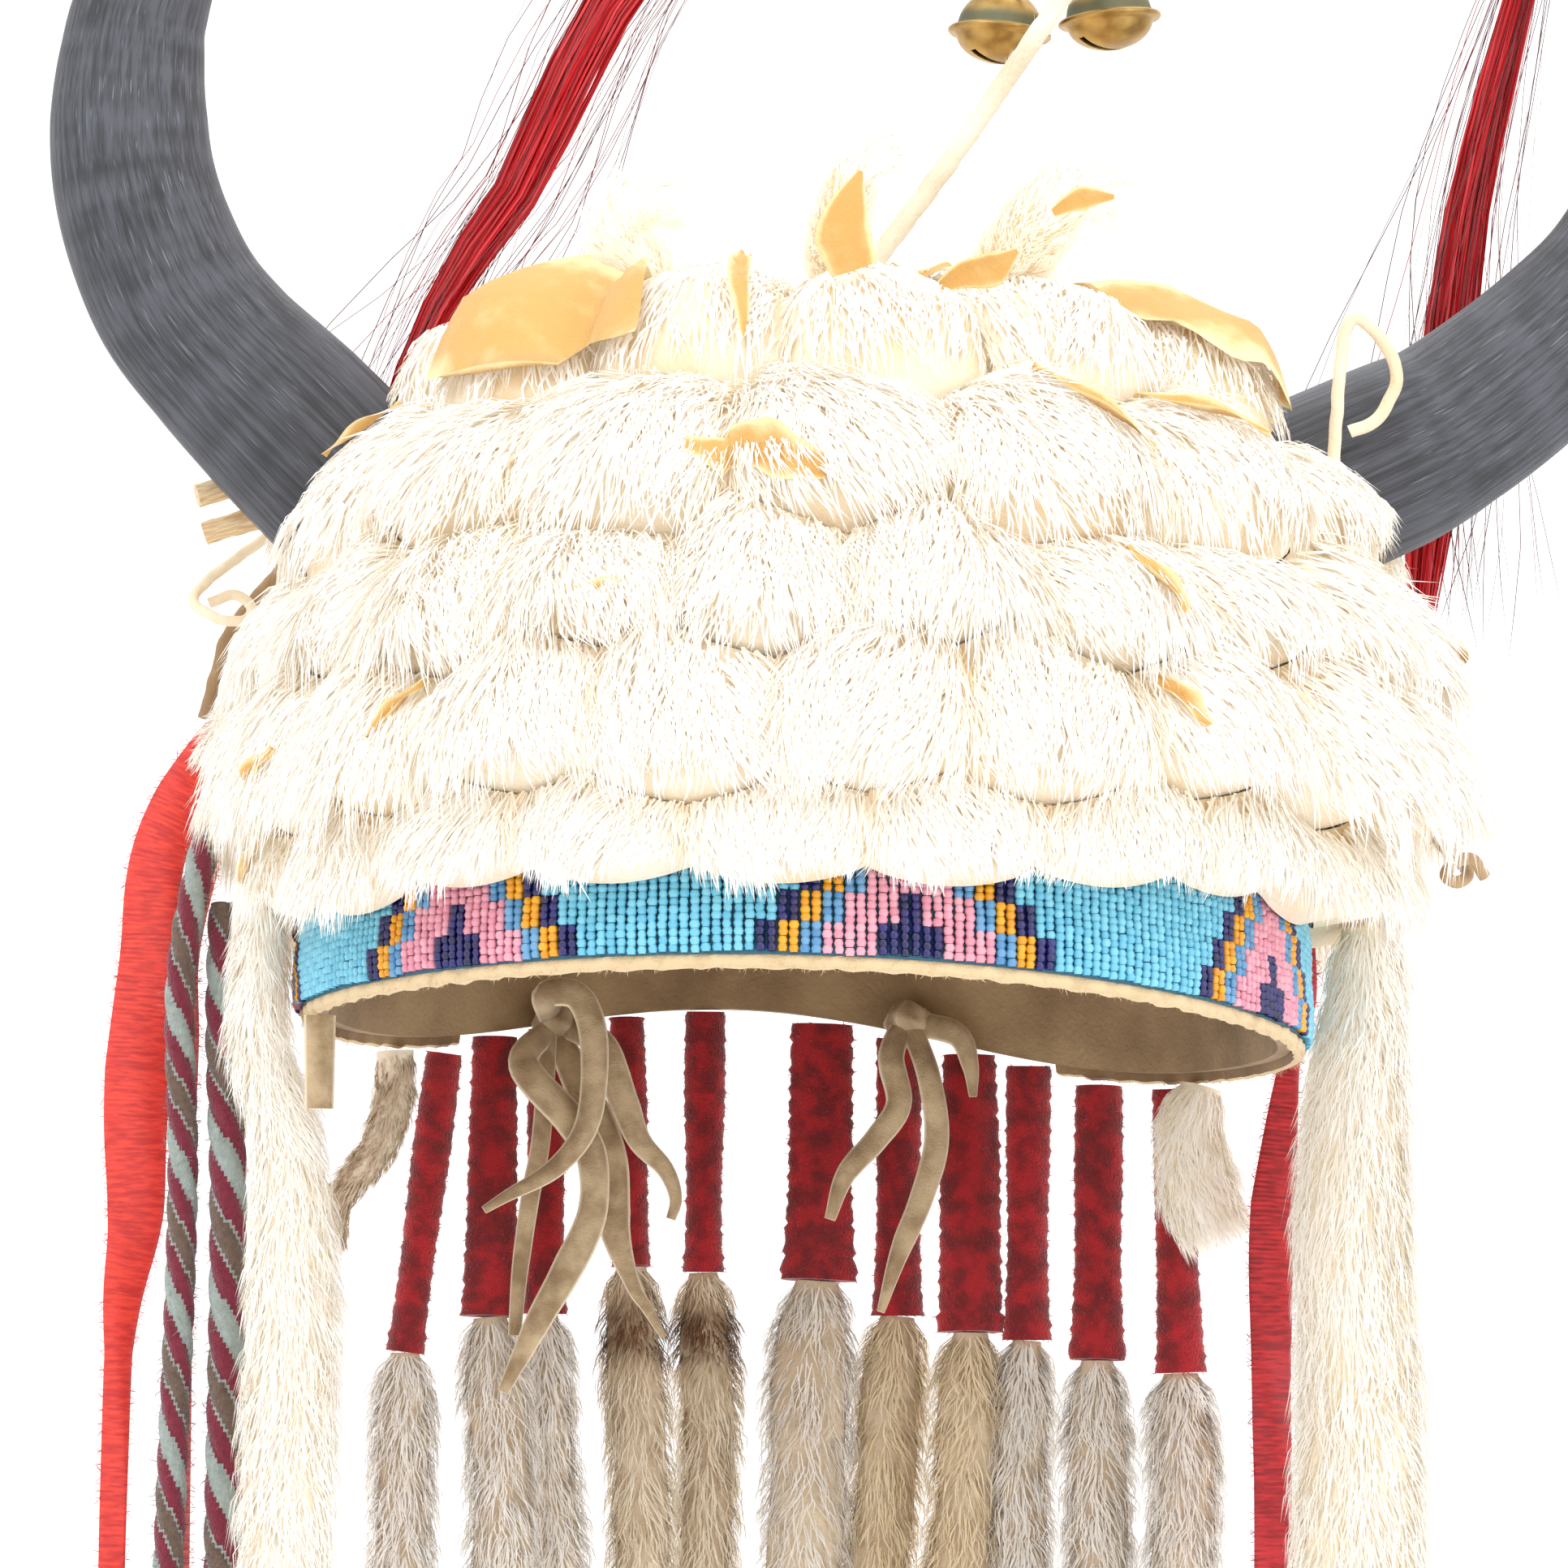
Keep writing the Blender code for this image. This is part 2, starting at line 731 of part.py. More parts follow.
def make_curl(name, grow=0.0):
    """A curl that grows out of the crown tier, or the larger form that seats it there."""
    seat, points, wide = CURLS[name]
    route = smooth_route(seated(points, fur_seat(seat, -CURL_SINK)), 2)
    half = [0.5 * CURL_WIDTH * wide * s + grow for s in (0.5, 1.0, 1.0, 0.85, 0.5)]
    deep = [0.5 * CURL_THICKNESS * s + grow for s in (0.5, 1.0, 1.0, 0.9, 0.6)]
    if not grow:
        return round_loft(name, route, half, deep, "fur", 8)
    route[0] -= tangent(route, 0) * grow
    return round_loft(f"{name}_seat", route, half, deep, None)


# The drops along the back rim: place across as a share of the cap's half width, inner or outer
# row, wrap length, sideways lean and width of the wrap, lean and width of the tail, and where the
# tail ends. Lengths are shares of the named sizes.
DROPS = (
    ("01", -0.675, 1, 1.06, -0.13, 0.70, -0.02, 0.80, 1.00),
    ("02", -0.575, -1, 1.00, -0.02, 0.90, 0.05, 0.92, 0.97),
    ("03", -0.455, 1, 1.02, 0.0, 0.70, 0.08, 0.72, 0.98),
    ("04", -0.272, -1, 0.90, 0.01, 0.70, 0.06, 0.86, 1.01),
    ("05", -0.094, 1, 0.94, 0.0, 0.76, 0.0, 0.82, 0.98),
    ("06", 0.168, -1, 0.93, -0.03, 1.25, -0.05, 1.22, 1.02),
    ("07", 0.332, 1, 1.0, 0.0, 0.88, -0.10, 0.96, 0.99),
    ("08", 0.476, -1, 1.0, 0.0, 1.12, -0.08, 0.96, 1.00),
    ("09", 0.598, 1, 0.98, 0.0, 0.84, -0.02, 0.80, 0.97),
    ("10", 0.722, -1, 0.98, -0.02, 0.90, 0.0, 0.90, 1.01),
    ("11", 0.850, 1, 1.0, 0.04, 0.78, -0.02, 0.96, 0.98),
)


def make_drop(name, across, row, wrap, lean, wide, tail_lean, tail_wide, end):
    turn = math.pi - math.asin(across)
    mean = rim_seat(turn, 0.0)
    half = WRAP_WIDTH * wide / 2
    reach = 0.8 * half / CAP_HALF_WIDTH
    rims = [math.pi - math.asin(min(across + s * reach, 0.999)) for s in (-1, 1)]
    low = min(rim_seat(t, GAP + half * abs(lean)).z for t in [turn, *rims])
    top = Vector((mean.x, mean.y, low))
    bottom = top + Vector((lean, 0, -wrap)) * WRAP_LENGTH + Vector((0, row * ROW_STAGGER, 0))
    route = [top.lerp(bottom, k / 3) for k in range(4)]
    thick = WRAP_THICKNESS / 2
    widths = [half * s for s in (0.92, 1.0, 0.95, 1.04)]
    lobes = 3 if wide > 1 else 2
    round_loft(f"wrap_{name}", route, widths, [thick] * 2, "red_wool", 8, lobes, 0.07)
    start = bottom - Vector((0, 0, 2 * GAP))
    finish = Vector((start.x + tail_lean * WRAP_LENGTH, start.y, TAIL_BOTTOM * end))
    tail = [start.lerp(finish, k) for k in (0.0, 0.2, 0.5, 0.85, 1.0)]
    widths = [TAIL_WIDTH * tail_wide / 2 * s for s in (0.62, 0.92, 1.0, 0.96, 0.82)]
    depths = [TAIL_THICKNESS / 2 * s for s in (0.7, 1.0, 1.0, 1.0, 0.8)]
    round_loft(f"tail_{name}", tail, widths, depths, "tail_fur", 8, 3, 0.06)


# The two long fur drops beside the band: seat, route below it in millimetres, and half widths.
SIDE_DROPS = {
    "side_drop_left": (
        (4, 45, 3),
        (
            (-99.4, 0, 21),
            (-100, 0.5, 8),
            (-99.5, 2, -4),
            (-95, 2, -20),
            (-93.5, 2, -46),
            (-94, 2, -76),
            (-94.5, 2, -108),
        ),
        (0.26, 0.34, 0.42, 0.57, 0.62, 0.62, 0.58),
    ),
    "side_drop_right": (
        (4, 15, 3),
        (
            (105.6, 0, 19),
            (105.9, 0.5, 6),
            (104.5, 1, -8),
            (102.5, 1, -38),
            (104, 1, -72),
            (104, 1, -110),
        ),
        (0.40, 0.65, 0.82, 0.85, 1.0, 0.93),
    ),
}
SIDE_DROP_WIDTH = 0.028
SIDE_DROP_DEPTH = 0.0055


def make_side_drop(name):
    """The drop hangs beside the band, so what would reach the beads is trimmed from it."""
    seat, points, shares = SIDE_DROPS[name]
    widths = [SIDE_DROP_WIDTH / 2 * s for s in shares]
    route = seated(points, fur_seat(seat, 1.1 * widths[0]))
    depths = [SIDE_DROP_DEPTH * s for s in (0.8, 1.0, 1.2, 1.3, 1.3, 1.2)]
    drop = round_loft(name, route, widths, depths, "fur", 10, 5, 0.05)
    bpy.ops.mesh.primitive_cube_add(size=1.0)
    trim = bpy.context.active_object
    trim.name = f"{name}_trim"
    trim.scale = (2 * (CAP_HALF_WIDTH + BEAD_OUT + GAP), 2 * CAP_HALF_DEPTH, CAP_RISE)
    trim.location = (0, 0, rim_z(math.radians(math.copysign(90, route[0].x))) + CAP_RISE / 2 - GAP)
    make_cutter(trim)
    boolean(drop, trim)


# Ribbons: where the top is seated, the route from there in millimetres, and widths along the way
# as shares of a ribbon's width.
RIBBON_WIDTH = 0.0105
RIBBONS = {
    "ribbon_left": (
        (2, 42, 2),
        (
            (-99, 35, 70),
            (-116, 33, 40),
            (-119, 32, 14),
            (-121, 31, -12),
            (-121, 31, -32),
            (-123.5, 31, -50),
            (-124.5, 31, -80),
            (-125, 31, -110),
        ),
        (0.5, 0.95, 1.0, 1.2, 1.0, 0.5, 0.48, 0.46),
    ),
    "ribbon_salmon": (
        (3, 42, 2),
        (
            (-101.5, 34, 44),
            (-107.5, 28, 20),
            (-108, 25, 2),
            (-109, 23.5, -22),
            (-109, 23.5, -50),
            (-109.2, 23.5, -108),
        ),
        (0.25, 0.38, 0.38, 0.38),
    ),
    "ribbon_right": (
        (4, 18, 3),
        (
            (102.2, 34.4, 20.1),
            (102, 34, 8),
            (98, 32, -4),
            (94.5, 31, -34),
            (94, 31, -60),
            (94.5, 31, -108),
        ),
        (0.23, 0.38, 0.84, 0.76, 0.69, 0.76),
    ),
}


def make_ribbon(name):
    seat, points, shares = RIBBONS[name]
    foot = fur_seat(seat, GAP + shares[0] * RIBBON_WIDTH / 2)
    route = smooth_route(seated(points, foot), 2)
    strip(name, route, RIBBON_WIDTH, shares, RIBBON_THICKNESS, "ribbon")


# Round cords: where the top is seated, the route from there in millimetres, steps in each span of
# the route, radius and material.
CORDS = {
    "yarn_rope_outer": (
        (3, 43, 2),
        (
            (-107.8, 24.8, 44.8),
            (-113.5, 19, 14),
            (-113, 18, -21),
            (-113.5, 18, -49),
            (-114.5, 18, -77),
            (-115.5, 18, -108),
        ),
        2,
        ROPE_A_RADIUS,
        "yarn",
    ),
    "yarn_rope_inner": (
        (4, 43, 2),
        (
            (-104.8, 23.5, 30.7),
            (-105.4, 19, 8),
            (-104.6, 14.5, -22),
            (-104.6, 15, -50),
            (-105, 15, -78),
            (-105.2, 15, -108),
        ),
        2,
        ROPE_B_RADIUS,
        "yarn",
    ),
    "curly_thong": (
        (1, 43, 2),
        (
            (-94.6, 21.9, 98.4),
            (-111, 13, 84.5),
            (-109, 10, 79.5),
            (-103, 11, 78.5),
            (-101, 13, 81),
            (-104, 15, 84),
            (-108.8, 16, 82.4),
        ),
        2,
        CURLY_RADIUS,
        "white_hide",
    ),
    "hide_strap": (
        (1, 42, 2),
        ((-89.2, 31.6, 97.5), (-103.5, 29, 80), (-106.5, 31, 72), (-109, 31, 62.5)),
        3,
        STRAP_RADIUS,
        "hide",
    ),
    "horn_loop": (
        (1, 13, 1),
        (
            (95.7, -19.8, 104.2),
            (98, -23, 131),
            (104, -23, 129.5),
            (107.5, -22, 122),
            (104, -21, 114.5),
            (99, -20, 112),
        ),
        2,
        LOOP_RADIUS,
        "white_hide",
    ),
    "thong_knot": (
        (3, 15, 3),
        (
            (118.3, 0, 37),
            (122, 0.5, 34),
            (124.5, -1, 30.5),
            (122, -4, 28.5),
            (119.5, -5.5, 29.5),
            (121, -6.5, 32),
            (124.5, -6, 32.5),
            (127, -4.5, 29.5),
        ),
        2,
        STRAP_RADIUS,
        "hide",
    ),
}


def make_cord(name):
    seat, points, per_span, radius, kind = CORDS[name]
    route = smooth_route(seated(points, fur_seat(seat, radius + GAP)), per_span)
    tube(name, route, radius, kind)


# Rawhide pegs under the left horn: seat, and their reach from there in millimetres.
PEGS = {
    "horn_peg_upper": ((1, 44, 1), (-23, -2, -7)),
    "horn_peg_lower": ((1, 44, 2), (-13, 2, -4)),
}


def make_peg(name):
    seat, reach = PEGS[name]
    foot = fur_seat(seat, 0.85 * PEG_RADIUS + GAP)
    tube(name, [foot, foot + Vector(reach) * 0.001], PEG_RADIUS, "rawhide")


def make_small_furs():
    """The yarn tuft, the paw tuft and the curled and plain hide pieces below the rim."""
    top = fur_seat((2, 41, 2), 0.0052)
    route = [top + Vector((-0.0003 * k, 0.0006 * k, -0.0045 * k)) for k in range(4)]
    tuft = (0.0022, 0.0042, 0.0046, 0.0026)
    round_loft("yarn_tuft", route, tuft, tuft, "yarn_grey", 8, 4, 0.1)
    foot = rim_seat(math.radians(116), 2 * GAP)
    route = seated(((0, 0, 0), (-2, 0, -9), (-1, 0, -18), (2, 0, -28), (3, 0, -33)), foot)
    paw = (0.0050, 0.0068, 0.0085, 0.0088, 0.0045)
    round_loft("fur_paw", route, paw, [0.5 * half for half in paw], "fur", 10, 3, 0.12)
    foot = rim_seat(math.radians(-128), 2 * GAP)
    route = seated(((0, 0, 0), (0, 0, -8), (-3, 0, -18), (-10, 0, -28), (-11, 0, -37)), foot)
    curled = (0.0045, 0.0042, 0.0040, 0.0030, 0.0018)
    round_loft("curled_fur", route, curled, [0.5 * half for half in curled], "tail_fur", 8)
    turn = math.radians(-82)
    top = rim_seat(turn, GAP)
    route = [top, top - Vector((0, 0, 0.017))]
    strip("hide_flap", route, 0.0058, (1, 0.9), THONG_THICKNESS, "hide")


# The knots inside the back rim that the flat hide ties leave: turn, height above the origin as a
# share of the band's height, and the ties, charted in millimetres from the knot's middle with
# their widths as shares of a tie's width.
THONG_KNOTS = {
    "tie_thongs_left": (
        -151.2,
        0.3,
        (
            (
                (-1, -1.5, -1),
                (-7, -10, -9),
                (2, -12, -20),
                (6, -12, -27),
                (6, -12, -38),
                (1, -12, -49),
                (-4, -12, -58),
                (-11, -12, -72),
            ),
            (
                (-1, -2, 0.5),
                (-3, -15, 4),
                (3, -16, 3.5),
                (6, -16, -5),
                (5, -16, -20),
                (-1, -16, -29),
                (-11, -16, -35),
                (-15, -16, -37.5),
            ),
            (
                (1.5, -1.5, -0.5),
                (8, -8, -5),
                (12.5, -8, -16),
                (15.5, -8, -23.5),
                (20.5, -8, -29),
                (22.5, -8, -34.5),
                (21.5, -8, -38.5),
            ),
            (
                (-0.5, -1, -1.5),
                (6, -4.5, -16),
                (10, -4.5, -27),
                (11, -4.5, -40),
                (14.5, -4.5, -51),
                (17, -4.5, -55),
                (20.5, -4.5, -61),
            ),
            (
                (-1.5, -2, -1.2),
                (-3.5, -8.4, -23),
                (-5.5, -8.4, -34),
                (-7.5, -8.4, -48.5),
                (-8.5, -8.4, -61),
            ),
        ),
        (
            (0.7, 1.0, 1.05, 0.9, 1.0, 0.8, 0.35),
            (0.8, 0.9, 0.9, 0.8, 0.6, 0.25),
            (0.8, 1.0, 0.9, 0.6, 0.3),
            (0.8, 1.1, 1.15, 1.1, 0.5, 0.2),
            (0.5, 0.6, 0.6, 0.55, 0.4),
        ),
    ),
    "tie_thongs_right": (
        158.1,
        0.33,
        (
            (
                (-1, -1.5, -0.5),
                (-4, -6, -7.5),
                (-2.5, -6, -16.5),
                (-7, -6, -23.5),
                (-13, -6, -30.5),
                (-16, -6, -39),
            ),
            (
                (0.3, -2, -0.8),
                (3, -9, -11.5),
                (4.5, -9, -23.5),
                (1.5, -9, -35),
                (-3, -9, -46),
                (-6.5, -9, -57),
            ),
            (
                (1.5, -1, -0.3),
                (9, -5.5, -3),
                (11.5, -5.5, -9),
                (12, -5.5, -15),
            ),
        ),
        (
            (0.75, 0.85, 0.8, 0.7, 0.35),
            (0.7, 0.75, 0.8, 0.7, 0.25),
            (0.8, 0.8, 0.6, 0.25),
        ),
    ),
}
KNOT_RADIUS = 0.005
KNOT_HEIGHT = 0.004


def make_thong_bundle(name):
    """Ties that leave one knot against the cap's inner face, fused to it."""
    turn, height, routes, shares = THONG_KNOTS[name]
    angle = math.radians(turn)
    wall = wall_point(angle, height * BAND_HEIGHT, -CAP_WALL)
    normal = Vector((math.sin(angle) / HEAD_HALF_WIDTH, -math.cos(angle) / HEAD_HALF_DEPTH, 0))
    normal.normalize()
    facet = HEAD_HALF_DEPTH * (1 - math.cos(math.pi / CAP_COLUMNS))
    knot = wall - normal * (KNOT_RADIUS + GAP + facet)
    bpy.ops.mesh.primitive_uv_sphere_add(segments=8, ring_count=4, radius=1.0)
    body = bpy.context.active_object
    body.name = name
    body.data.name = name
    body.data.transform(Matrix.Diagonal((KNOT_RADIUS, KNOT_RADIUS, KNOT_HEIGHT, 1.0)))
    body.data.transform(Matrix.Rotation(math.atan2(normal.y, normal.x), 4, "Z"))
    body.location = knot
    body.data.materials.append(material(name, "hide"))
    for owner in list(body.users_collection):
        owner.objects.unlink(body)
    PARTS.objects.link(body)
    for number, (route, widths) in enumerate(zip(routes, shares)):
        tie = strip(
            f"{name}_tie_{number}",
            [knot + point for point in millimetres(route)],
            THONG_WIDTH,
            widths,
            THONG_THICKNESS,
            None,
        )
        boolean(body, tie, "UNION")


def main():
    envelope = make_cap_envelope()
    make_cap()
    wall_band("brow_band", BAND_HALF_TURN, 0.0, BAND_HEIGHT, GAP, BAND_OUT, "hide")
    wall_band(
        "beadwork",
        BEAD_HALF_TURN,
        BEAD_EDGE,
        BAND_HEIGHT - BEAD_EDGE / 2,
        BAND_OUT + GAP,
        BEAD_OUT,
        "beads",
    )
    tiers = [make_tier(i) for i in range(len(TIERS))]
    seats = [make_horn(name, envelope) for name in HORN_ROUTES]
    for tier in tiers[:3]:
        for seat in seats:
            boolean(tier, seat)
    boolean(tiers[0], make_rod(envelope))
    make_plume("plume_left", "horn_left")
    make_plume("plume_right", "horn_right")
    boolean(tiers[0], make_plume("plume_left", "horn_left", GAP))
    for name in BELLS:
        make_bell(name)
    for name in CURLS:
        make_curl(name)
        boolean(tiers[0], make_curl(name, GAP))
    for row in DROPS:
        make_drop(*row)
    for name in SIDE_DROPS:
        make_side_drop(name)
    for name in RIBBONS:
        make_ribbon(name)
    for name in CORDS:
        make_cord(name)
    for name in PEGS:
        make_peg(name)
    make_small_furs()
    for name in THONG_KNOTS:
        make_thong_bundle(name)


clear_scene()
PARTS = collection(NAME)
CUTTERS = collection("cutters")
main()
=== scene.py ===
"""Looks of the split horn headdress, laid out as an add-on with one operator for each group."""

import math

import bmesh
import bpy
import numpy as np
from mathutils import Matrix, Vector
from mathutils.kdtree import KDTree


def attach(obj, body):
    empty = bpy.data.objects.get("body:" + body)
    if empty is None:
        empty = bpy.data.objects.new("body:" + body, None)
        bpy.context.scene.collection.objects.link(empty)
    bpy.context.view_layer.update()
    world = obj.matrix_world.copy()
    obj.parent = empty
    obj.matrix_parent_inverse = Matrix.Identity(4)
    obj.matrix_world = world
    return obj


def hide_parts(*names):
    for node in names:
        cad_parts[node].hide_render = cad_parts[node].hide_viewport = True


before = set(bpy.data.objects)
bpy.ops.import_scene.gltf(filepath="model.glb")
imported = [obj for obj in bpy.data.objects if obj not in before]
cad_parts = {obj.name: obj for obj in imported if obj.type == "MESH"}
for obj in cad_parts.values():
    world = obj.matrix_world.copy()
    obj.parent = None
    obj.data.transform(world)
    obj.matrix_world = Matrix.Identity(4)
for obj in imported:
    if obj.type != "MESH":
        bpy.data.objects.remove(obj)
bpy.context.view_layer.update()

bl_info = {
    "name": "Split horn headdress",
    "version": (1, 0, 0),
    "blender": (4, 5, 0),
    "location": "View3D > Sidebar > Headdress",
    "description": "Builds the looks of the split horn headdress",
    "category": "Object",
}

MM = 0.001
DOWN = np.array((0.0, 0.0, -1.0))
UP = -DOWN

# Sizes and shares, most of which the solids have too. Lengths are in metres.
CAP_HALF = (0.0897, 0.1017)
CAP_WALL = 0.0025
CAP_RISE = 0.118
CAP_POWER = 2.6
BASE_Z = -0.006
RIM_LIFT = 0.002
BAND_WALL = 0.0018
BAND_HEIGHT = 0.036
BAND_HALF_TURN = math.radians(140)
BEAD_HALF_TURN = math.radians(130)
BEAD_EDGE = 0.0024
BEAD_OUT = 0.004
FUR_HALF = (0.120, 0.009, 0.120)
FUR_RISE = 0.149
FUR_POWER = 3.5
FUR_COLUMNS = 60
FUR_GROOVE = 0.24
FUR_TOP = 0.97
TIER_GAP = 0.0022
HORN_WIDTH = 0.0355
HORN_DEPTH = 0.42
HORN_WALL = 0.0032
RIBBON_HALF = 0.00525
TIE_HALF = 0.0031
TIE_THICK = 0.0013
THONG_RADIUS = 0.0012

# Points round a section, and of the grid under each tier of fur.
ROPE_SIDES = 32
THONG_SIDES = 14
ROD_SIDES = 20
WRAP_SIDES = 28
CORE_SIDES = 14
HORN_SIDES = 28
BEAD_SIDES = 6
BELL_SIDES = 48
TIER_COLUMNS = 240
TIER_ROWS = 16


def shade(red, green, blue):
    """A colour read from a picture, 0 to 255, as linear light."""
    values = [c / 255 for c in (red, green, blue)]
    return (*[c / 12.92 if c <= 0.04045 else ((c + 0.055) / 1.055) ** 2.4 for c in values], 1.0)


class Wire:
    """A value in a shader. Arithmetic with it adds the maths nodes that work it out."""

    def __init__(self, finish, socket):
        self.finish = finish
        self.socket = socket

    def maths(self, operation, *values):
        return self.finish.add("ShaderNodeMath", values, operation=operation)

    def __add__(self, other):
        return self.maths("ADD", self, other)

    __radd__ = __add__

    def __sub__(self, other):
        return self.maths("SUBTRACT", self, other)

    def __rsub__(self, other):
        return self.maths("SUBTRACT", other, self)

    def __mul__(self, other):
        return self.maths("MULTIPLY", self, other)

    __rmul__ = __mul__

    def wave(self):
        return self.maths("SINE", self) * 0.5 + 0.5


class Finish:
    """A material under construction."""

    def __init__(self, name, rough=0.7, metal=0.0, sheen=0.0, coat=0.0, gloss=0.5):
        self.material = bpy.data.materials.new(name)
        self.material.use_nodes = True
        self.tree = self.material.node_tree
        self.shader = self.tree.nodes["Principled BSDF"]
        self.shader.inputs["Roughness"].default_value = rough
        self.shader.inputs["Metallic"].default_value = metal
        self.shader.inputs["Sheen Weight"].default_value = sheen
        self.shader.inputs["Coat Weight"].default_value = coat
        self.shader.inputs["Specular IOR Level"].default_value = gloss

    def feed(self, socket, value):
        if isinstance(value, Wire):
            self.tree.links.new(value.socket, socket)
        else:
            socket.default_value = value

    def add(self, kind, inputs=(), output=0, **settings):
        """Adds a node, feeds its inputs by place or by name, and gives one output."""
        node = self.tree.nodes.new(kind)
        for key, value in settings.items():
            setattr(node, key, value)
        pairs = inputs.items() if isinstance(inputs, dict) else enumerate(inputs)
        for key, value in pairs:
            self.feed(node.inputs[key], value)
        return Wire(self, node.outputs[output])

    def tone(self):
        """The number that the mesh carries at each point."""
        return self.add("ShaderNodeAttribute", output="Fac", attribute_name="tone")

    def grain(self, across, along):
        """The place on the mesh, as millimetres round and along it, scaled."""
        place = self.add("ShaderNodeAttribute", output="Vector", attribute_name="grain")
        return self.add(
            "ShaderNodeVectorMath", (place, (across, along, 1.0)), operation="MULTIPLY"
        )

    def noise(self, scale, detail=2.0, place=None):
        if place is None:
            place = self.add("ShaderNodeTexCoord", output="Object")
        inputs = {"Vector": place, "Scale": scale, "Detail": detail}
        return self.add("ShaderNodeTexNoise", inputs)

    def between(self, value, low, high):
        """0 below low, 1 above high, and smooth between them."""
        inputs = {"Value": value, "From Min": low, "From Max": high}
        return self.add("ShaderNodeMapRange", inputs, interpolation_type="SMOOTHSTEP")

    def mix(self, share, low, high):
        return self.add(
            "ShaderNodeMix", {0: share, 6: low, 7: high}, output=2, data_type="RGBA"
        )

    def colour(self, value):
        self.feed(self.shader.inputs["Base Color"], value)
        return self

    def rough(self, value):
        self.feed(self.shader.inputs["Roughness"], value)
        return self

    def bump(self, height, distance, strength=1.0):
        inputs = {"Height": height, "Distance": distance, "Strength": strength}
        made = self.add("ShaderNodeBump", inputs)
        self.feed(self.shader.inputs["Normal"], made)
        return self


def fur_finish(name, light, warm, dark, painted_glow=0.0):
    """Hair whose tone runs from warm roots to light tips, the roots darker as painted shade, and a
    constant cream emission: a painted glow that lifts the shade in the fur.
    """
    made = Finish(name, rough=0.9, sheen=0.3, gloss=0.15)
    # Painted glow: a constant cream emission that lifts the shade between the hairs.
    made.shader.inputs["Emission Color"].default_value = shade(255, 232, 196)
    made.shader.inputs["Emission Strength"].default_value = painted_glow
    tone = made.tone()
    base = made.mix(made.between(tone, 0.0, 0.55), dark, warm)
    return made.colour(made.mix(made.between(tone, 0.4, 1.0), base, light))


def hide_finish(name, light, dark, scale=260.0):
    """Tanned hide: blotches, pores and a soft nap."""
    made = Finish(name, rough=0.92, sheen=0.15)
    blotch = made.noise(scale * 0.22, 3.0)
    pores = made.noise(scale * 4.0, 2.0)
    # Random blotches mixed with the mesh's tone; on the flaps the tone is painted light on the raised
    # edges and painted shade in the lower middle.
    mottle = made.between(blotch * 0.7 + made.tone() * 0.6, 0.35, 0.85)
    made.colour(made.mix(mottle, dark, light))
    return made.bump(pores + blotch * 0.6, 0.0006, 0.5)


def unit(vectors):
    return vectors / np.maximum(np.linalg.norm(vectors, axis=-1, keepdims=True), 1e-9)


def curve(points, steps):
    """A smooth line through the points, with so many steps in each span."""
    points = np.asarray(points, float)
    ends = np.vstack((2 * points[0] - points[1], points, 2 * points[-1] - points[-2]))
    share = np.arange(steps)[:, None] / steps
    spans = []
    for a, b, c, d in zip(ends, ends[1:], ends[2:], ends[3:]):
        spans.append(
            0.5
            * (
                2 * b
                + (c - a) * share
                + (2 * a - 5 * b + 4 * c - d) * share**2
                + (3 * b - a - 3 * c + d) * share**3
            )
        )
    return np.vstack((*spans, points[-1:]))


def even(route, count):
    """The same line with evenly spaced points."""
    steps = np.linalg.norm(np.diff(route, axis=0), axis=1)
    place = np.concatenate(((0.0,), np.cumsum(steps)))
    wanted = np.linspace(0, place[-1], count)
    return np.stack([np.interp(wanted, place, route[:, k]) for k in range(3)], axis=1)


def course(points, steps, count):
    """An even, smooth line through points in millimetres."""
    return even(curve(np.array(points) * MM, steps), count)


def length_of(route):
    return float(np.linalg.norm(np.diff(route, axis=0), axis=1).sum())


def directions(route, across=None):
    """Along, sideways and outward at each point of a route, as the solids have them."""
    along = unit(np.gradient(route, axis=0))
    side = np.cross((0.0, 1.0, 0.0), along) if across is None else np.tile(across, (len(route), 1))
    side = unit(side - along * (side * along).sum(1, keepdims=True))
    return along, side, np.cross(along, side)


def shares_at(shares, count):
    return np.interp(np.linspace(0, 1, count), np.linspace(0, 1, len(shares)), shares)


def grid_faces(rows, columns, closed=True):
    """Quads of a grid of points whose rows may close on themselves."""
    i = np.arange(rows - 1)[:, None] * columns
    k = np.arange(columns if closed else columns - 1)[None, :]
    j = (k + 1) % columns
    quads = np.stack((i + k, i + j, i + columns + j, i + columns + k), axis=-1)
    return quads.reshape(-1, 4)


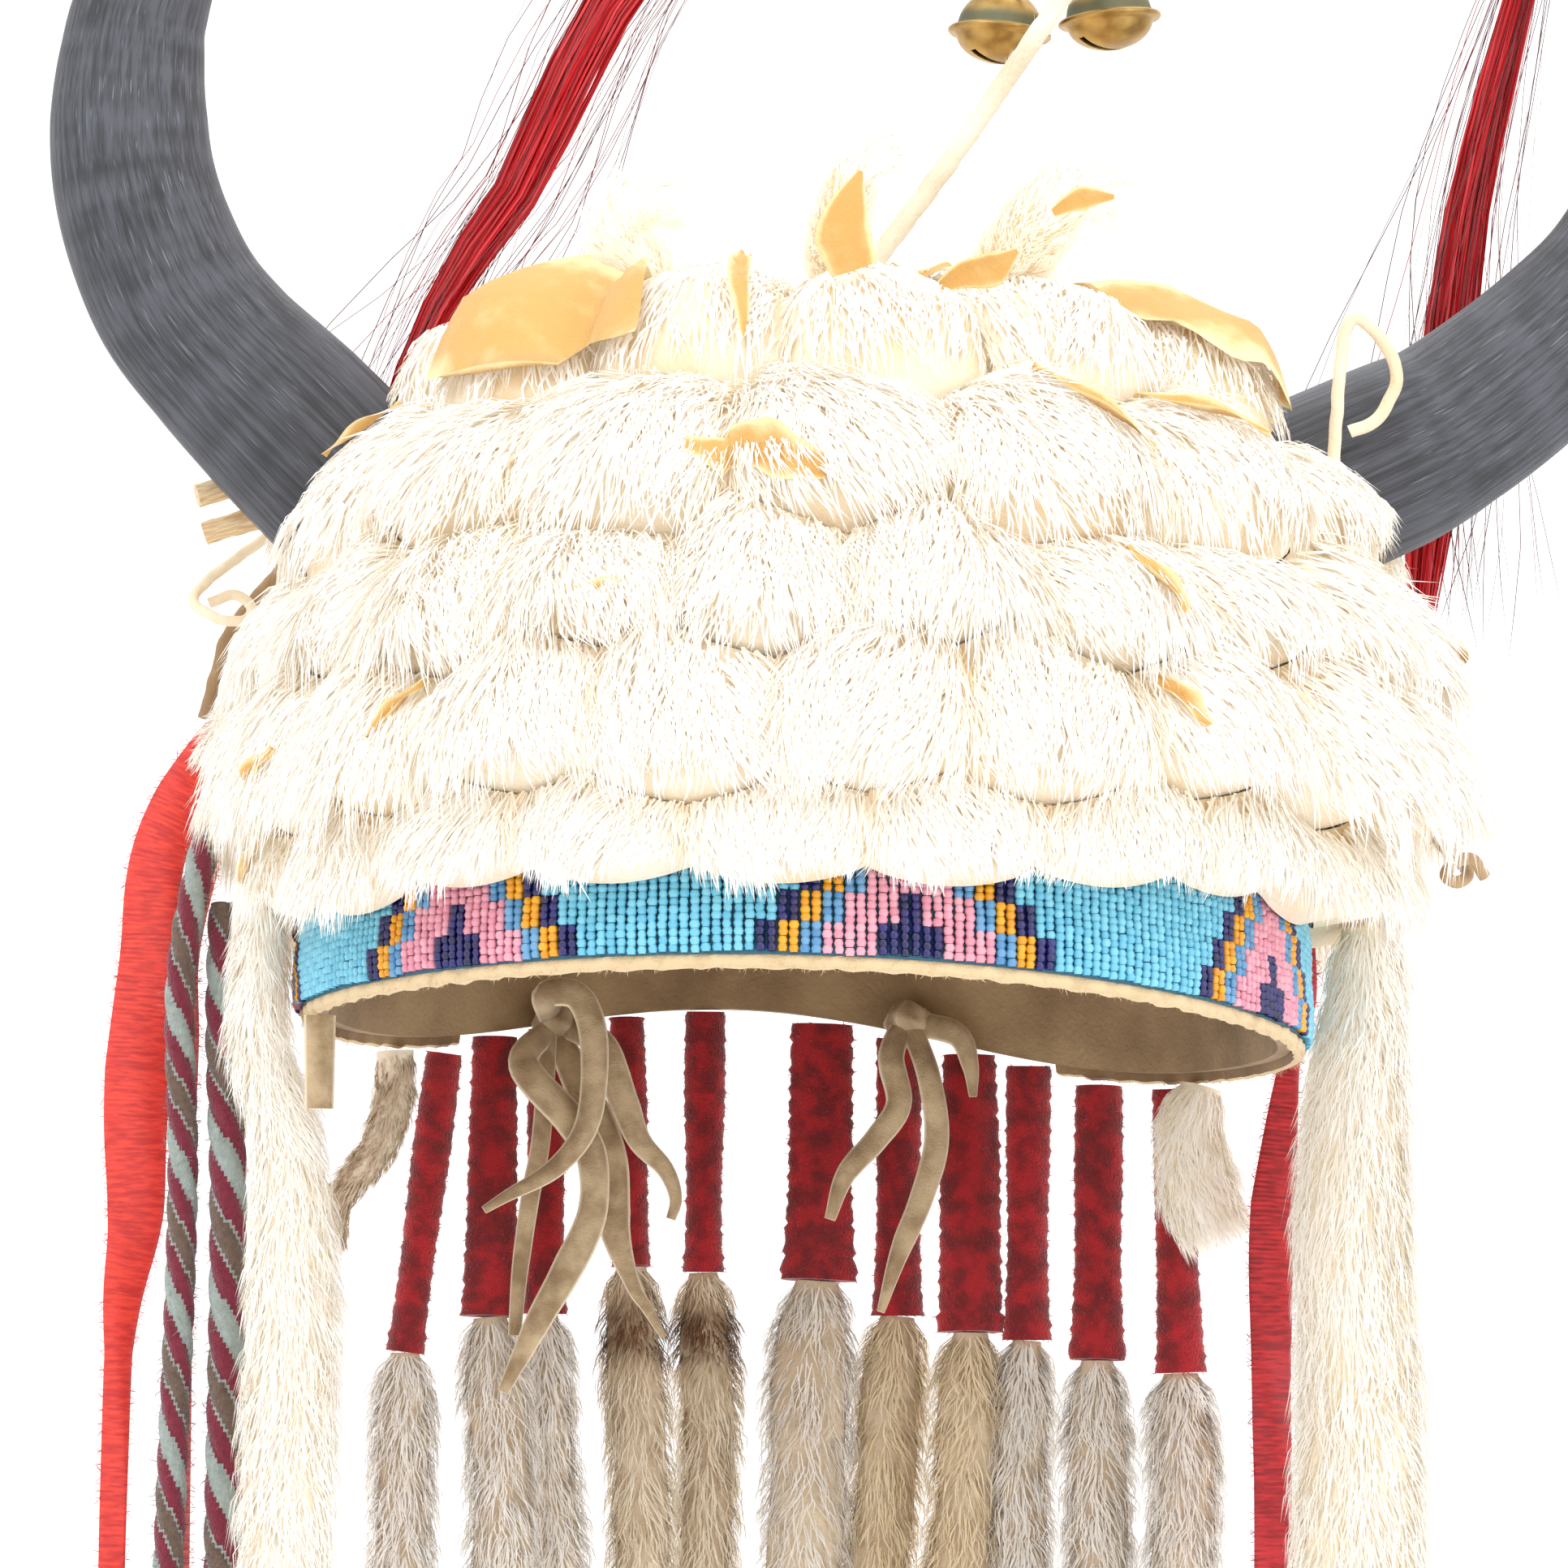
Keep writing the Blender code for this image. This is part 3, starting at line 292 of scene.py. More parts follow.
class Body:
    """A piece's mesh under construction: points that carry a tone, a grain and perhaps a normal."""

    def __init__(self):
        self.points, self.tones, self.grains, self.normals = [], [], [], []
        self.faces = []
        self.count = 0

    def add(self, points, faces, finish=0, tone=0.5, grain=None, normals=None):
        points = np.asarray(points, float).reshape(-1, 3)
        size = len(points)
        self.points.append(points)
        self.tones.append(np.broadcast_to(np.asarray(tone, float).reshape(-1), size))
        self.grains.append(points * 1000 if grain is None else grain.reshape(-1, 3))
        self.normals.append(np.zeros((size, 3)) if normals is None else normals.reshape(-1, 3))
        self.faces.append((np.asarray(faces, int) + self.count, finish))
        self.count += size

    def sweep(self, route, wide, deep, around=16, finish=0, tone=None, shape=None):
        """A tube of elliptic section along a route. shape(angle, share) swells it."""
        rows = len(route)
        _, side, out = directions(route)
        angle = np.linspace(0, 2 * np.pi, around, endpoint=False)[None, :]
        share = np.linspace(0, 1, rows)[:, None]
        swell = np.ones((rows, around)) if shape is None else shape(angle, share)
        x = shares_at(wide, rows)[:, None] * swell * np.cos(angle)
        y = shares_at(deep, rows)[:, None] * swell * np.sin(angle)
        points = route[:, None] + side[:, None] * x[..., None] + out[:, None] * y[..., None]
        reach = length_of(route) * 1000
        grain = np.stack(
            np.broadcast_arrays(np.cos(angle) * 3, share * reach, np.sin(angle) * 3), axis=-1
        )
        values = 0.5 if tone is None else tone(angle + 0 * share, share + 0 * angle)
        self.add(points, grid_faces(rows, around), finish, values, grain)
        for row, flip in ((0, 1), (rows - 1, -1)):
            ring = np.vstack((points[row], points[row].mean(0)))
            k = np.arange(around)
            fan = np.stack((k, (k + 1) % around, np.full(around, around)), axis=1)[:, ::-flip]
            ring_tone = 0.5 if tone is None else np.append(values[row], values[row].mean())
            ring_grain = np.vstack((grain[row], grain[row].mean(0)))
            self.add(ring, fan, finish, ring_tone, ring_grain)
        return points

    def strip(self, route, wide, thick, finish=0, across=None, curl=0.0, columns=9, ripple=None):
        """A strap with a rounded, perhaps curled section, whose edges carry tone 1."""
        rows = len(route)
        _, side, out = directions(route, across)
        half = shares_at(wide, rows)[:, None]
        u = np.linspace(-1, 1, columns)[None, :]
        bend = curl * half * (u**2 - 0.4)
        if ripple is not None:
            bend = bend + ripple(u, np.linspace(0, 1, rows)[:, None])
        top = np.concatenate((u, u[:, ::-1]), axis=1)
        level = np.concatenate((bend, bend[:, ::-1]), axis=1)
        rise = np.sqrt(np.maximum(1 - np.abs(top) ** 4, 0.02)) * thick / 2
        rise = rise * np.concatenate((np.ones(columns), -np.ones(columns)))[None, :]
        points = (
            route[:, None]
            + side[:, None] * (top * half)[..., None]
            + out[:, None] * (level + rise)[..., None]
        )
        reach = np.linspace(0, length_of(route) * 1000, rows)[:, None]
        grain = np.stack(
            np.broadcast_arrays(top * half * 1000, reach, np.sign(rise)), axis=-1
        )
        edge = np.broadcast_to(np.abs(top) ** 6, (rows, 2 * columns))
        self.add(points, grid_faces(rows, 2 * columns), finish, edge, grain)
        k = np.arange(columns - 1)
        ends = np.stack((k, k + 1, 2 * columns - 2 - k, 2 * columns - 1 - k), axis=1)
        self.add(points[0], ends[:, ::-1], finish, 1.0)
        self.add(points[-1], ends, finish, 1.0)

    def hairs(self, rng, roots, flow, normal, long, wide, finish=0, tone=0.8, lift=0.3,
              wild=0.2, droop=0.1, clumps=0, gather=0.5, shine=0.5):
        """Tapered blades of hair, drawn together in clumps, that shade with the surface below."""
        size = len(roots)
        flow, normal = unit(flow), unit(normal)
        aside = np.cross(flow, normal)
        long = (long * (0.7 + 0.6 * rng.random(size)))[:, None]
        sway = (wild * rng.normal(size=size))[:, None]
        rise = (lift * (0.3 + 1.4 * rng.random(size)))[:, None]
        first = unit(flow + normal * rise * 1.3 + aside * sway)
        last = unit(flow + normal * rise * 0.4 + aside * sway * 1.6 + DOWN * droop)
        middle = roots + first * long * 0.5
        tip = middle + last * long * 0.5
        if clumps:
            chosen = rng.choice(size, min(clumps, size), replace=False)
            tree = KDTree(len(chosen))
            for number, one in enumerate(chosen):
                tree.insert(roots[one], number)
            tree.balance()
            near = chosen[[tree.find(root)[1] for root in roots]]
            pull = gather * (0.6 + 0.4 * rng.random(size))[:, None]
            tip = tip + (tip[near] - tip) * pull
            middle = middle + (middle[near] - middle) * pull * 0.35
        turn = (rng.random(size) * 1.6 - 0.8)[:, None]
        across = unit(aside * np.cos(turn) + normal * np.sin(turn))
        away = (np.cross(across, tip - roots) * normal).sum(1, keepdims=True) < 0
        across = np.where(away, -across, across)
        half = (np.broadcast_to(wide, size) * (0.7 + 0.6 * rng.random(size)) / 2)[:, None]
        points = np.stack(
            (
                roots - across * half,
                roots + across * half,
                middle - across * half * 0.8,
                middle + across * half * 0.8,
                tip,
            ),
            axis=1,
        )
        own = unit(np.cross(across, tip - roots))
        facing = unit(shine * normal + (1 - shine) * own)
        facing = np.repeat(facing[:, None], 5, axis=1)
        tone = np.broadcast_to(tone, size) + 0.06 * rng.normal(size=size)
        # Each blade is darker at its root than at its tip: painted shade where the fur shades its own
        # roots.
        tones = np.stack([tone - 0.1, tone - 0.1, tone, tone, tone + 0.08], axis=1)
        start = np.arange(size)[:, None, None] * 5
        faces = start + np.array(((0, 1, 3), (0, 3, 2), (2, 3, 4)))[None]
        self.add(points, faces.reshape(-1, 3), finish, tones.clip(0, 1), None, facing)

    def fuzz_roots(self, rng, route, sides, count):
        """Picks points of the tube that was swept first, with the way out from its middle."""
        pick = rng.integers(0, len(self.points[0]), count)
        roots = self.points[0][pick]
        return pick, roots, unit(roots - route[pick // sides])

    def lid(self, ring, finish=0, tone=0.5):
        """Closes a ring with a fan to its middle."""
        size = len(ring)
        k = np.arange(size)
        fan = np.stack((k, (k + 1) % size, np.full(size, size)), axis=1)
        self.add(np.vstack((ring, ring.mean(0))), fan, finish, tone)

    def strands(self, lines, wide, finish=0, tone=0.5):
        """Long thin hairs: lines is strands by points by 3, wide is a number or one a strand."""
        size, steps = lines.shape[:2]
        along = unit(np.gradient(lines, axis=1))
        facing = np.arange(size)[:, None] * 2.4
        facing = np.stack((np.sin(facing), np.cos(facing), 0 * facing), axis=-1)
        across = unit(np.cross(along, facing))
        taper = np.ones(steps)
        taper[-1] = 0.15
        half = (np.broadcast_to(wide, size)[:, None] * taper[None] / 2)[..., None]
        points = np.stack((lines - across * half, lines + across * half), axis=2)
        k = np.arange(steps - 1)[:, None] * 2
        one = (k + np.array((0, 1, 3, 2))[None]).reshape(-1, 4)
        faces = (np.arange(size)[:, None, None] * steps * 2 + one[None]).reshape(-1, 4)
        tones = np.broadcast_to(tone, size)[:, None, None] + np.zeros((size, steps, 2))
        self.add(points, faces, finish, tones)

    def build(self, node, finishes, name=None):
        """Makes the piece, dresses it and lets it take the place of its solid."""
        name = name or f"{node}_dressed"
        points = np.concatenate(self.points)
        loops, starts, totals, kinds = [], [], [], []
        at = 0
        for faces, finish in self.faces:
            size, corners = faces.shape
            loops.append(faces.reshape(-1))
            starts.append(at + np.arange(size) * corners)
            totals.append(np.full(size, corners))
            kinds.append(np.full(size, finish))
            at += size * corners
        mesh = bpy.data.meshes.new(name)
        mesh.vertices.add(len(points))
        mesh.vertices.foreach_set("co", points.reshape(-1))
        mesh.loops.add(at)
        mesh.loops.foreach_set("vertex_index", np.concatenate(loops))
        starts = np.concatenate(starts)
        mesh.polygons.add(len(starts))
        mesh.polygons.foreach_set("loop_start", starts)
        mesh.polygons.foreach_set("loop_total", np.concatenate(totals))
        mesh.polygons.foreach_set("material_index", np.concatenate(kinds))
        mesh.update(calc_edges=True)
        mesh.validate()
        mesh.shade_smooth()
        tone = mesh.attributes.new("tone", "FLOAT", "POINT")
        tone.data.foreach_set("value", np.concatenate(self.tones).astype(np.float32))
        grain = mesh.attributes.new("grain", "FLOAT_VECTOR", "POINT")
        grain.data.foreach_set("vector", np.concatenate(self.grains).astype(np.float32).reshape(-1))
        normals = np.concatenate(self.normals)
        if np.any(normals):
            mesh.normals_split_custom_set_from_vertices(normals.tolist())
        for finish in finishes:
            mesh.materials.append(finish.material)
        made = bpy.data.objects.new(name, mesh)
        bpy.context.scene.collection.objects.link(made)
        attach(made, "root")
        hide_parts(node)
        return made


def superellipse(up, power):
    angle = np.clip(up, 0.0, 1.0) * np.pi / 2
    size = (np.cos(angle) ** power + np.sin(angle) ** power) ** (-1 / power)
    return np.cos(angle) * size, np.sin(angle) * size


def out_at(high):
    """How far out the cap's face is, as a share, at a share of its height."""
    return (1 - high**CAP_POWER) ** (1 / CAP_POWER)


def round_cap(turn, out, z, off):
    """A point at height z. Turn 0 is the front."""
    return np.stack(
        (
            (CAP_HALF[0] + off) * out * np.sin(turn),
            -(CAP_HALF[1] + off) * out * np.cos(turn),
            z + 0 * out,
        ),
        axis=-1,
    )


def cap_point(turn, up, off=0.0):
    """A point on the cap's outer face, or off metres outside it, at a share of the way up."""
    out, high = superellipse(up, CAP_POWER)
    return round_cap(turn, out, BASE_Z + (CAP_RISE + off) * high, off)


def wall_point(turn, z, off=0.0):
    """The same at a height in metres."""
    return round_cap(turn, out_at((z - BASE_Z) / (CAP_RISE + off)), z, off)


def fur_point(turn, up):
    out, high = superellipse(up, FUR_POWER)
    half = FUR_HALF[0] + FUR_HALF[1] * np.sin(turn)
    return np.stack(
        (half * out * np.sin(turn), -FUR_HALF[2] * out * np.cos(turn), BASE_Z + FUR_RISE * high),
        axis=-1,
    )


def rim_z(turn):
    front = np.maximum(0.0, np.cos(turn)) ** 2
    back = np.maximum(0.0, -np.cos(turn)) ** 5
    return 0.004 * front + 0.013 * back - 0.04 * CAP_HALF[0] * np.sin(turn)


# The fur tiers from the crown down: locks round the head, how far the first lock is turned, where
# the tips end and how far they zigzag, as shares of the way up, how full they are at their roots
# and tips, how far off the cap their inside is, blades of hair, their length in millimetres, and
# how much shorter they are at the tips.
TIERS = (
    ("fur_tier_crown", 12, 0.3, 0.56, 0.030, 0.78, 1.00, 0.0009, 21000, 10.0, 0.1),
    ("fur_tier_upper", 15, 0.6, 0.41, 0.022, 0.62, 0.94, 0.0009, 22000, 11.0, 0.1),
    ("fur_tier_middle", 20, 0.1, 0.31, 0.018, 0.60, 0.96, 0.0009, 23000, 12.0, 0.1),
    ("fur_tier_lower", 20, 0.5, 0.205, 0.016, 0.62, 1.00, 0.0049, 24000, 13.0, 0.15),
    ("fur_tier_brow", 20, 0.0, 0.141, 0.014, 0.45, 0.62, 0.0049, 22000, 9.5, 0.3),
)


def lock_of(tier, column):
    """The lock at a column, and the place across it from 0 to 1."""
    _, locks, phase, *_ = TIERS[tier]
    at = column * locks / FUR_COLUMNS + phase
    return np.floor(at) % locks, at % 1.0


def tip_line(tier, column):
    if tier < 0:
        return FUR_TOP + 0 * column
    low, zigzag = TIERS[tier][3:5]
    lock, across = lock_of(tier, column)
    bulge = np.sin(np.pi * across) ** 0.7
    return low + zigzag * (0.6 - 1.2 * bulge + 0.5 * np.sin(2.4 * lock + tier))


def lock_point(tier, column, place, sink=0.0):
    """A point on the locks' face, or sink metres below it, at a share of the way down them."""
    root_full, tip_full, off = TIERS[tier][5:8]
    turn = 2 * np.pi * column / FUR_COLUMNS
    bulge = np.sin(np.pi * lock_of(tier, column)[1]) ** 0.7
    top = tip_line(tier - 1, column) - TIER_GAP / 2
    tip = tip_line(tier, column) + TIER_GAP / 2
    up = top + (tip - top) * place
    full = root_full + (tip_full - root_full) * place
    full = full * np.interp(place, (0, 0.5, 0.85, 1.0), (1.0, 1.0, 0.97, 0.72))
    full = full * (1 - FUR_GROOVE * (1 - bulge))
    inside = cap_point(turn, up, off)
    reach = fur_point(turn, up) - inside
    full = full - sink / np.linalg.norm(reach, axis=-1)
    return inside + reach * full[..., None]


# Centrelines of the horns, in millimetres across and up, and their widths as shares.
HORNS = {
    "horn_left": (
        (-59.6, 78.6), (-78.6, 97.6), (-95.6, 114.6), (-107.6, 126.6), (-115.6, 136.6),
        (-121.1, 148.6), (-124.1, 159.6), (-125.1, 170.6), (-124.6, 181.6), (-122.6, 192.6),
        (-114.6, 211.6), (-100.6, 227.6), (-82.6, 238.6), (-64.6, 243.6),
    ),
    "horn_right": (
        (61.5, 83.1), (85.5, 99.1), (110.5, 111.1), (121.5, 117.1), (132.5, 125.1),
        (143.5, 134.6), (153.5, 145.1), (160.5, 157.1), (164.5, 170.1), (165.0, 183.1),
        (162.5, 197.1), (157.5, 210.1), (149.5, 222.1), (139.5, 231.1),
    ),
}
HORN_SHARES = (1.02, 1.02, 1.0, 0.93, 0.91, 0.88, 0.85, 0.82, 0.76, 0.70, 0.58, 0.42, 0.26, 0.10)


def horn_line(name, steps=5):
    return curve([(x * MM, 0.0, z * MM) for x, z in HORNS[name]], steps)


def outside_horns(points, margin):
    """Which points stand clear of both horns."""
    clear = np.ones(len(points), bool)
    for name in HORNS:
        line = horn_line(name)
        half = HORN_WIDTH * shares_at(HORN_SHARES, len(line)) / 2
        away = np.linalg.norm((points[:, None] - line[None]) * (1.0, 0.9, 1.0), axis=2)
        clear &= ~np.any((away < half[None] + margin) & (points[:, None, 1] < 0.002), axis=1)
    return clear


class HairSettings(bpy.types.PropertyGroup):
    """How the fur grows."""

    density: bpy.props.FloatProperty(
        name="Density", description="Share of the full count of hairs", default=1.0, min=0.05
    )
    width: bpy.props.FloatProperty(
        name="Hair width",
        description="Width of a blade of guard hair",
        default=0.0005,
        unit="LENGTH",
        subtype="DISTANCE",
        precision=5,
    )
    gather: bpy.props.FloatProperty(
        name="Clumping", description="How far hairs draw together", default=0.5, subtype="FACTOR"
    )


class BeadSettings(bpy.types.PropertyGroup):
    """How the seed beads are strung."""

    radius: bpy.props.FloatProperty(
        name="Bead radius",
        description="Radius of a seed bead",
        default=0.00098,
        unit="LENGTH",
        subtype="DISTANCE",
        precision=5,
    )
    pitch: bpy.props.FloatProperty(
        name="Row pitch",
        description="Height of a row of beads",
        default=0.00135,
        unit="LENGTH",
        subtype="DISTANCE",
        precision=5,
    )
    columns: bpy.props.IntProperty(
        name="Columns", description="Strings of beads round the band", default=236
    )
    rows: bpy.props.IntProperty(name="Rows", description="Beads in a string", default=19)


class StageSettings(bpy.types.PropertyGroup):
    """The studio round the headdress."""

    floor: bpy.props.FloatProperty(
        name="Floor", description="Height of the floor", default=-0.45, unit="LENGTH"
    )
    key: bpy.props.FloatProperty(
        name="Key light", description="Power of the key light", default=8.2, unit="POWER"
    )
    sky: bpy.props.FloatProperty(
        name="Surround", description="Strength of the white surround", default=1.3
    )


class HEADDRESS_OT_stage(bpy.types.Operator):
    """Sets up the camera, the soft light and the pale floor"""

    bl_idname = "headdress.stage"
    bl_label = "Stage"

    def execute(self, context):
        settings = context.scene.headdress_stage
        data = bpy.data.cameras.new("camera")
        data.lens = 198.8
        data.sensor_width = 36.0
        data.clip_end = 20.0
        camera = bpy.data.objects.new("camera", data)
        camera.location = (-0.1695, -1.5810, -0.1329)
        aim = Vector((-0.0033, 0.0, 0.0482)) - camera.location
        camera.rotation_euler = aim.to_track_quat("-Z", "Y").to_euler()
        context.scene.collection.objects.link(camera)
        context.scene.camera = camera
        context.scene.view_settings.view_transform = "Standard"
        lights = (
            ("key", (-0.5, -1.0, 1.25), 1.1, settings.key),
            ("fill", (0.9, -1.0, 0.25), 1.2, settings.key * 0.45),
            ("top", (0.2, 0.5, 1.3), 1.0, settings.key * 0.6),
        )
        for name, place, size, power in lights:
            light = bpy.data.lights.new(name, "AREA")
            light.size = size
            light.energy = power
            made = bpy.data.objects.new(name, light)
            made.location = place
            aim = Vector((0.0, 0.0, 0.07)) - Vector(place)
            made.rotation_euler = aim.to_track_quat("-Z", "Y").to_euler()
            context.scene.collection.objects.link(made)
        world = bpy.data.worlds.new("surround")
        world.use_nodes = True
        sky = world.node_tree.nodes["Background"]
        sky.inputs["Color"].default_value = (1.0, 1.0, 1.0, 1.0)
        sky.inputs["Strength"].default_value = settings.sky
        context.scene.world = world
        angle = np.linspace(0, 2 * np.pi, 64, endpoint=False)
        ring = np.stack((3 * np.cos(angle), 3 * np.sin(angle), 0 * angle + settings.floor), axis=1)
        mesh = bpy.data.meshes.new("floor")
        mesh.from_pydata(ring.tolist(), [], [list(range(64))])
        pale = Finish("floor", rough=0.9)
        pale.colour(pale.mix(pale.noise(30.0), (0.86, 0.86, 0.86, 1), (0.9, 0.9, 0.9, 1)))
        mesh.materials.append(pale.material)
        floor = bpy.data.objects.new("floor", mesh)
        context.scene.collection.objects.link(floor)
        return {"FINISHED"}


# Round cords: points in millimetres, radius, twist of the plies in turns a metre, and how each
# one ends.
CORDS = {
    "yarn_rope_outer": (
        ((-107.8, 24.7, 44.8), (-113.5, 18.9, 14.0), (-113.0, 17.9, -21.0),
         (-113.5, 17.9, -49.0), (-114.5, 17.9, -77.0), (-115.5, 17.9, -108.0)),
        2.9, 38.0, "bare",
    ),
    "yarn_rope_inner": (
        ((-104.9, 24.3, 26.8), (-105.5, 19.8, 4.1), (-104.7, 15.3, -25.9),
         (-104.7, 15.8, -53.9), (-105.1, 15.8, -81.9), (-105.3, 15.8, -111.9)),
        3.6, 33.0, "bare",
    ),
    "curly_thong": (
        ((-94.8, 21.8, 98.5), (-111.2, 12.9, 84.6), (-109.2, 9.9, 79.6), (-103.2, 10.9, 78.6),
         (-101.2, 12.9, 81.1), (-104.2, 14.9, 84.1), (-109.0, 15.9, 82.5)),
        1.0, 0.0, "bare",
    ),
    "hide_strap": (
        ((-89.4, 31.5, 97.8), (-103.7, 28.9, 80.3), (-106.7, 30.9, 72.3), (-109.2, 30.9, 62.8)),
        1.2, 0.0, "bare",
    ),
    "horn_loop": (
        ((96.3, -19.9, 104.7), (98.6, -23.1, 131.5), (104.6, -23.1, 130.0),
         (108.1, -22.1, 122.5), (104.6, -21.1, 115.0), (99.6, -20.1, 112.5)),
        1.2, 0.0, "object",
    ),
}
THONG_KNOT = (
    (118.3, 0.0, 39.4), (122.0, 0.5, 36.4), (124.5, -1.0, 32.9), (122.0, -4.0, 30.9),
    (119.5, -5.5, 31.9), (121.0, -6.5, 34.4), (124.5, -6.0, 34.9), (127.0, -4.5, 31.9),
)


def yarn_finish(name):
    """Twisted wool: the tone says which ply, and fine fibres run along it."""
    made = Finish(name, rough=0.95, sheen=0.3)
    tone = made.tone()
    maroon = made.mix(made.noise(900.0), shade(92, 16, 36), shade(140, 40, 62))
    grey = made.mix(made.noise(900.0), shade(122, 134, 128), shade(176, 186, 180))
    brown = made.mix(made.noise(900.0), shade(72, 52, 42), shade(128, 106, 92))
    base = made.mix(made.between(tone, 0.2, 0.3), maroon, grey)
    made.colour(made.mix(made.between(tone, 0.7, 0.8), base, brown))
    fibre = made.noise(2.2, 2.0, made.grain(1.4, 1.0))
    return made.bump(fibre, 0.0006, 0.8)


class HEADDRESS_OT_cords(bpy.types.Operator):
    """Twists the yarn ropes and rolls the round thongs"""

    bl_idname = "headdress.cords"
    bl_label = "Cords"

    def execute(self, context):
        rng = np.random.default_rng(11)
        for name, (points, radius, turns, end) in CORDS.items():
            route = curve(np.array(points) * MM, 12)
            long = length_of(route)
            route = even(route, max(24, int(long / (0.001 if turns else 0.0008))))
            body = Body()
            if turns:
                plies = 4
                spin = 2 * np.pi * turns * long

                def shape(angle, share):
                    lobe = np.abs(np.sin(plies * (angle + spin * share) / 2))
                    return 0.72 + 0.28 * lobe**0.6

                def tone(angle, share):
                    ply = np.floor(plies * (angle + spin * share) / (2 * np.pi)) % plies
                    return np.choose(ply.astype(int), (0.0, 0.5, 0.0, 1.0))

                body.sweep(route, [radius * MM] * 2, [radius * MM] * 2, ROPE_SIDES, 0, tone, shape)
                pick, roots, out = body.fuzz_roots(rng, route, ROPE_SIDES, 1500)
                flow = unit(rng.normal(size=(len(roots), 3)) + DOWN * 0.6)
                body.hairs(rng, roots - out * 0.0004, flow, out, 0.0026, 0.00013, 0,
                           body.tones[0][pick], lift=0.8, wild=0.6)
                finishes = [yarn_finish(name)]
            else:
                light, dark = (250, 238, 214), (222, 196, 158)
                if name == "hide_strap":
                    light, dark = (176, 146, 108), (118, 88, 60)
                finishes = [hide_finish(name, shade(*light), shade(*dark))]

                def shape(angle, share):
                    ridges = np.sin(3 * angle + 40 * share)
                    return 1 + 0.06 * ridges + 0.05 * np.sin(70 * share + angle)

                body.sweep(route, [radius * MM] * 2, [radius * MM] * 2, THONG_SIDES, 0, None, shape)
            made = body.build(name, finishes)
        body = Body()
        radius = [THONG_RADIUS] * 2
        body.sweep(course(THONG_KNOT, 12, 60), radius, radius, THONG_SIDES)
        finish = hide_finish("thong_knot", shade(196, 166, 128), shade(140, 104, 70))
        body.build("thong_knot", [finish])
        return {"FINISHED"}


class HEADDRESS_OT_cap(bpy.types.Operator):
    """Shapes the hide cap and the brow band with its stitched edge"""

    bl_idname = "headdress.cap"
    bl_label = "Cap and band"

    def execute(self, context):
        rng = np.random.default_rng(21)
        columns, rows = 144, 22
        turn = np.linspace(0, 2 * np.pi, columns, endpoint=False)
        share = np.linspace(0, 0.995, rows)[:, None]
        body = Body()
        rims = []
        for off in (0.0, -CAP_WALL):
            high = (rim_z(turn) + RIM_LIFT - BASE_Z) / (CAP_RISE + off)
            low = np.arctan2(high, out_at(high)) * 2 / np.pi
            shell = cap_point(turn[None], low[None] + (1 - low[None]) * share, off)
            rims.append(shell[0])
            body.add(shell, grid_faces(rows, columns))
            body.lid(shell[-1])
        body.add(np.stack(rims), grid_faces(2, columns))
        body.build("cap", [hide_finish("cap", shade(172, 144, 106), shade(112, 86, 58))])

        steps = 320
        turn = np.linspace(-BAND_HALF_TURN, BAND_HALF_TURN, steps)
        base = rim_z(turn)
        reach = np.arange(steps) * 0.5
        whip = 0.00022 * np.sin(reach * 2.6) + 0.00012 * rng.normal(size=steps)
        inner = (
            (BAND_HEIGHT, 0.0003), (0.020, 0.0003), (0.006, 0.0003), (0.0016, 0.0003),
        )
        hem = (
            (0.0004, 0.0005), (0.0, 0.0011), (0.0003, 0.0019), (0.0012, 0.0024), (0.0021, 0.0024),
        )
        outer = (
            (0.0026, 0.0019), (0.012, BAND_WALL), (0.024, BAND_WALL), (BAND_HEIGHT, BAND_WALL),
        )
        lines = []
        for profile, low in ((inner, 0.0), (hem, 1.0), (outer, 0.0)):
            for height, off in profile:
                lines.append(wall_point(turn, base + height + whip * 0.6 * low, off + whip * low))
        body = Body()
        points = np.stack(lines, axis=1)
        body.add(points[:, :5], grid_faces(steps, 5, False), 0, 0.2)
        body.add(points[:, 4:], grid_faces(steps, 9, False), 1, 0.8)
        size = 2500
        where = rng.random(size) * 2 * BAND_HALF_TURN - BAND_HALF_TURN
        rise = rng.random(size) * 0.0022
        roots = wall_point(where, rim_z(where) + rise, BAND_WALL)
        out = unit(wall_point(where, rim_z(where) + 0.001, 0.01) - roots)
        body.hairs(rng, roots, DOWN + 0 * roots, out, 0.0013, 0.00012, 1, 0.9, lift=0.7, wild=0.9)
        inside = hide_finish("band_inside", shade(178, 148, 108), shade(124, 96, 64))
        edge = hide_finish("band_edge", shade(226, 200, 158), shade(176, 142, 96), 700.0)
        body.build("brow_band", [inside, edge])
        return {"FINISHED"}


BEAD_COLOURS = (
    ("ground", (98, 186, 216), (128, 208, 232)),
    ("navy", (18, 16, 70), (34, 30, 110)),
    ("amber", (228, 150, 8), (246, 178, 28)),
    ("blue", (70, 132, 184), (110, 168, 210)),
    ("pink", (222, 140, 162), (240, 172, 188)),
)
PYRAMIDS = (-99, -47, 5, 57, 109)


def bead_colour(column, row, centres):
    """Stepped triangles on a plain ground: borders from outside in, and a short stem."""
    for centre in centres:
        away = abs(column - centre + 0.5)
        half = 14 - 2 * (row // 4)
        if away > half:
            continue
        if row < 4 and away < 3 or row < 8 and away < 1:
            return 1
        return (1, 2, 3, 4)[min(int((half - away) / 2), 3)]
    return 0


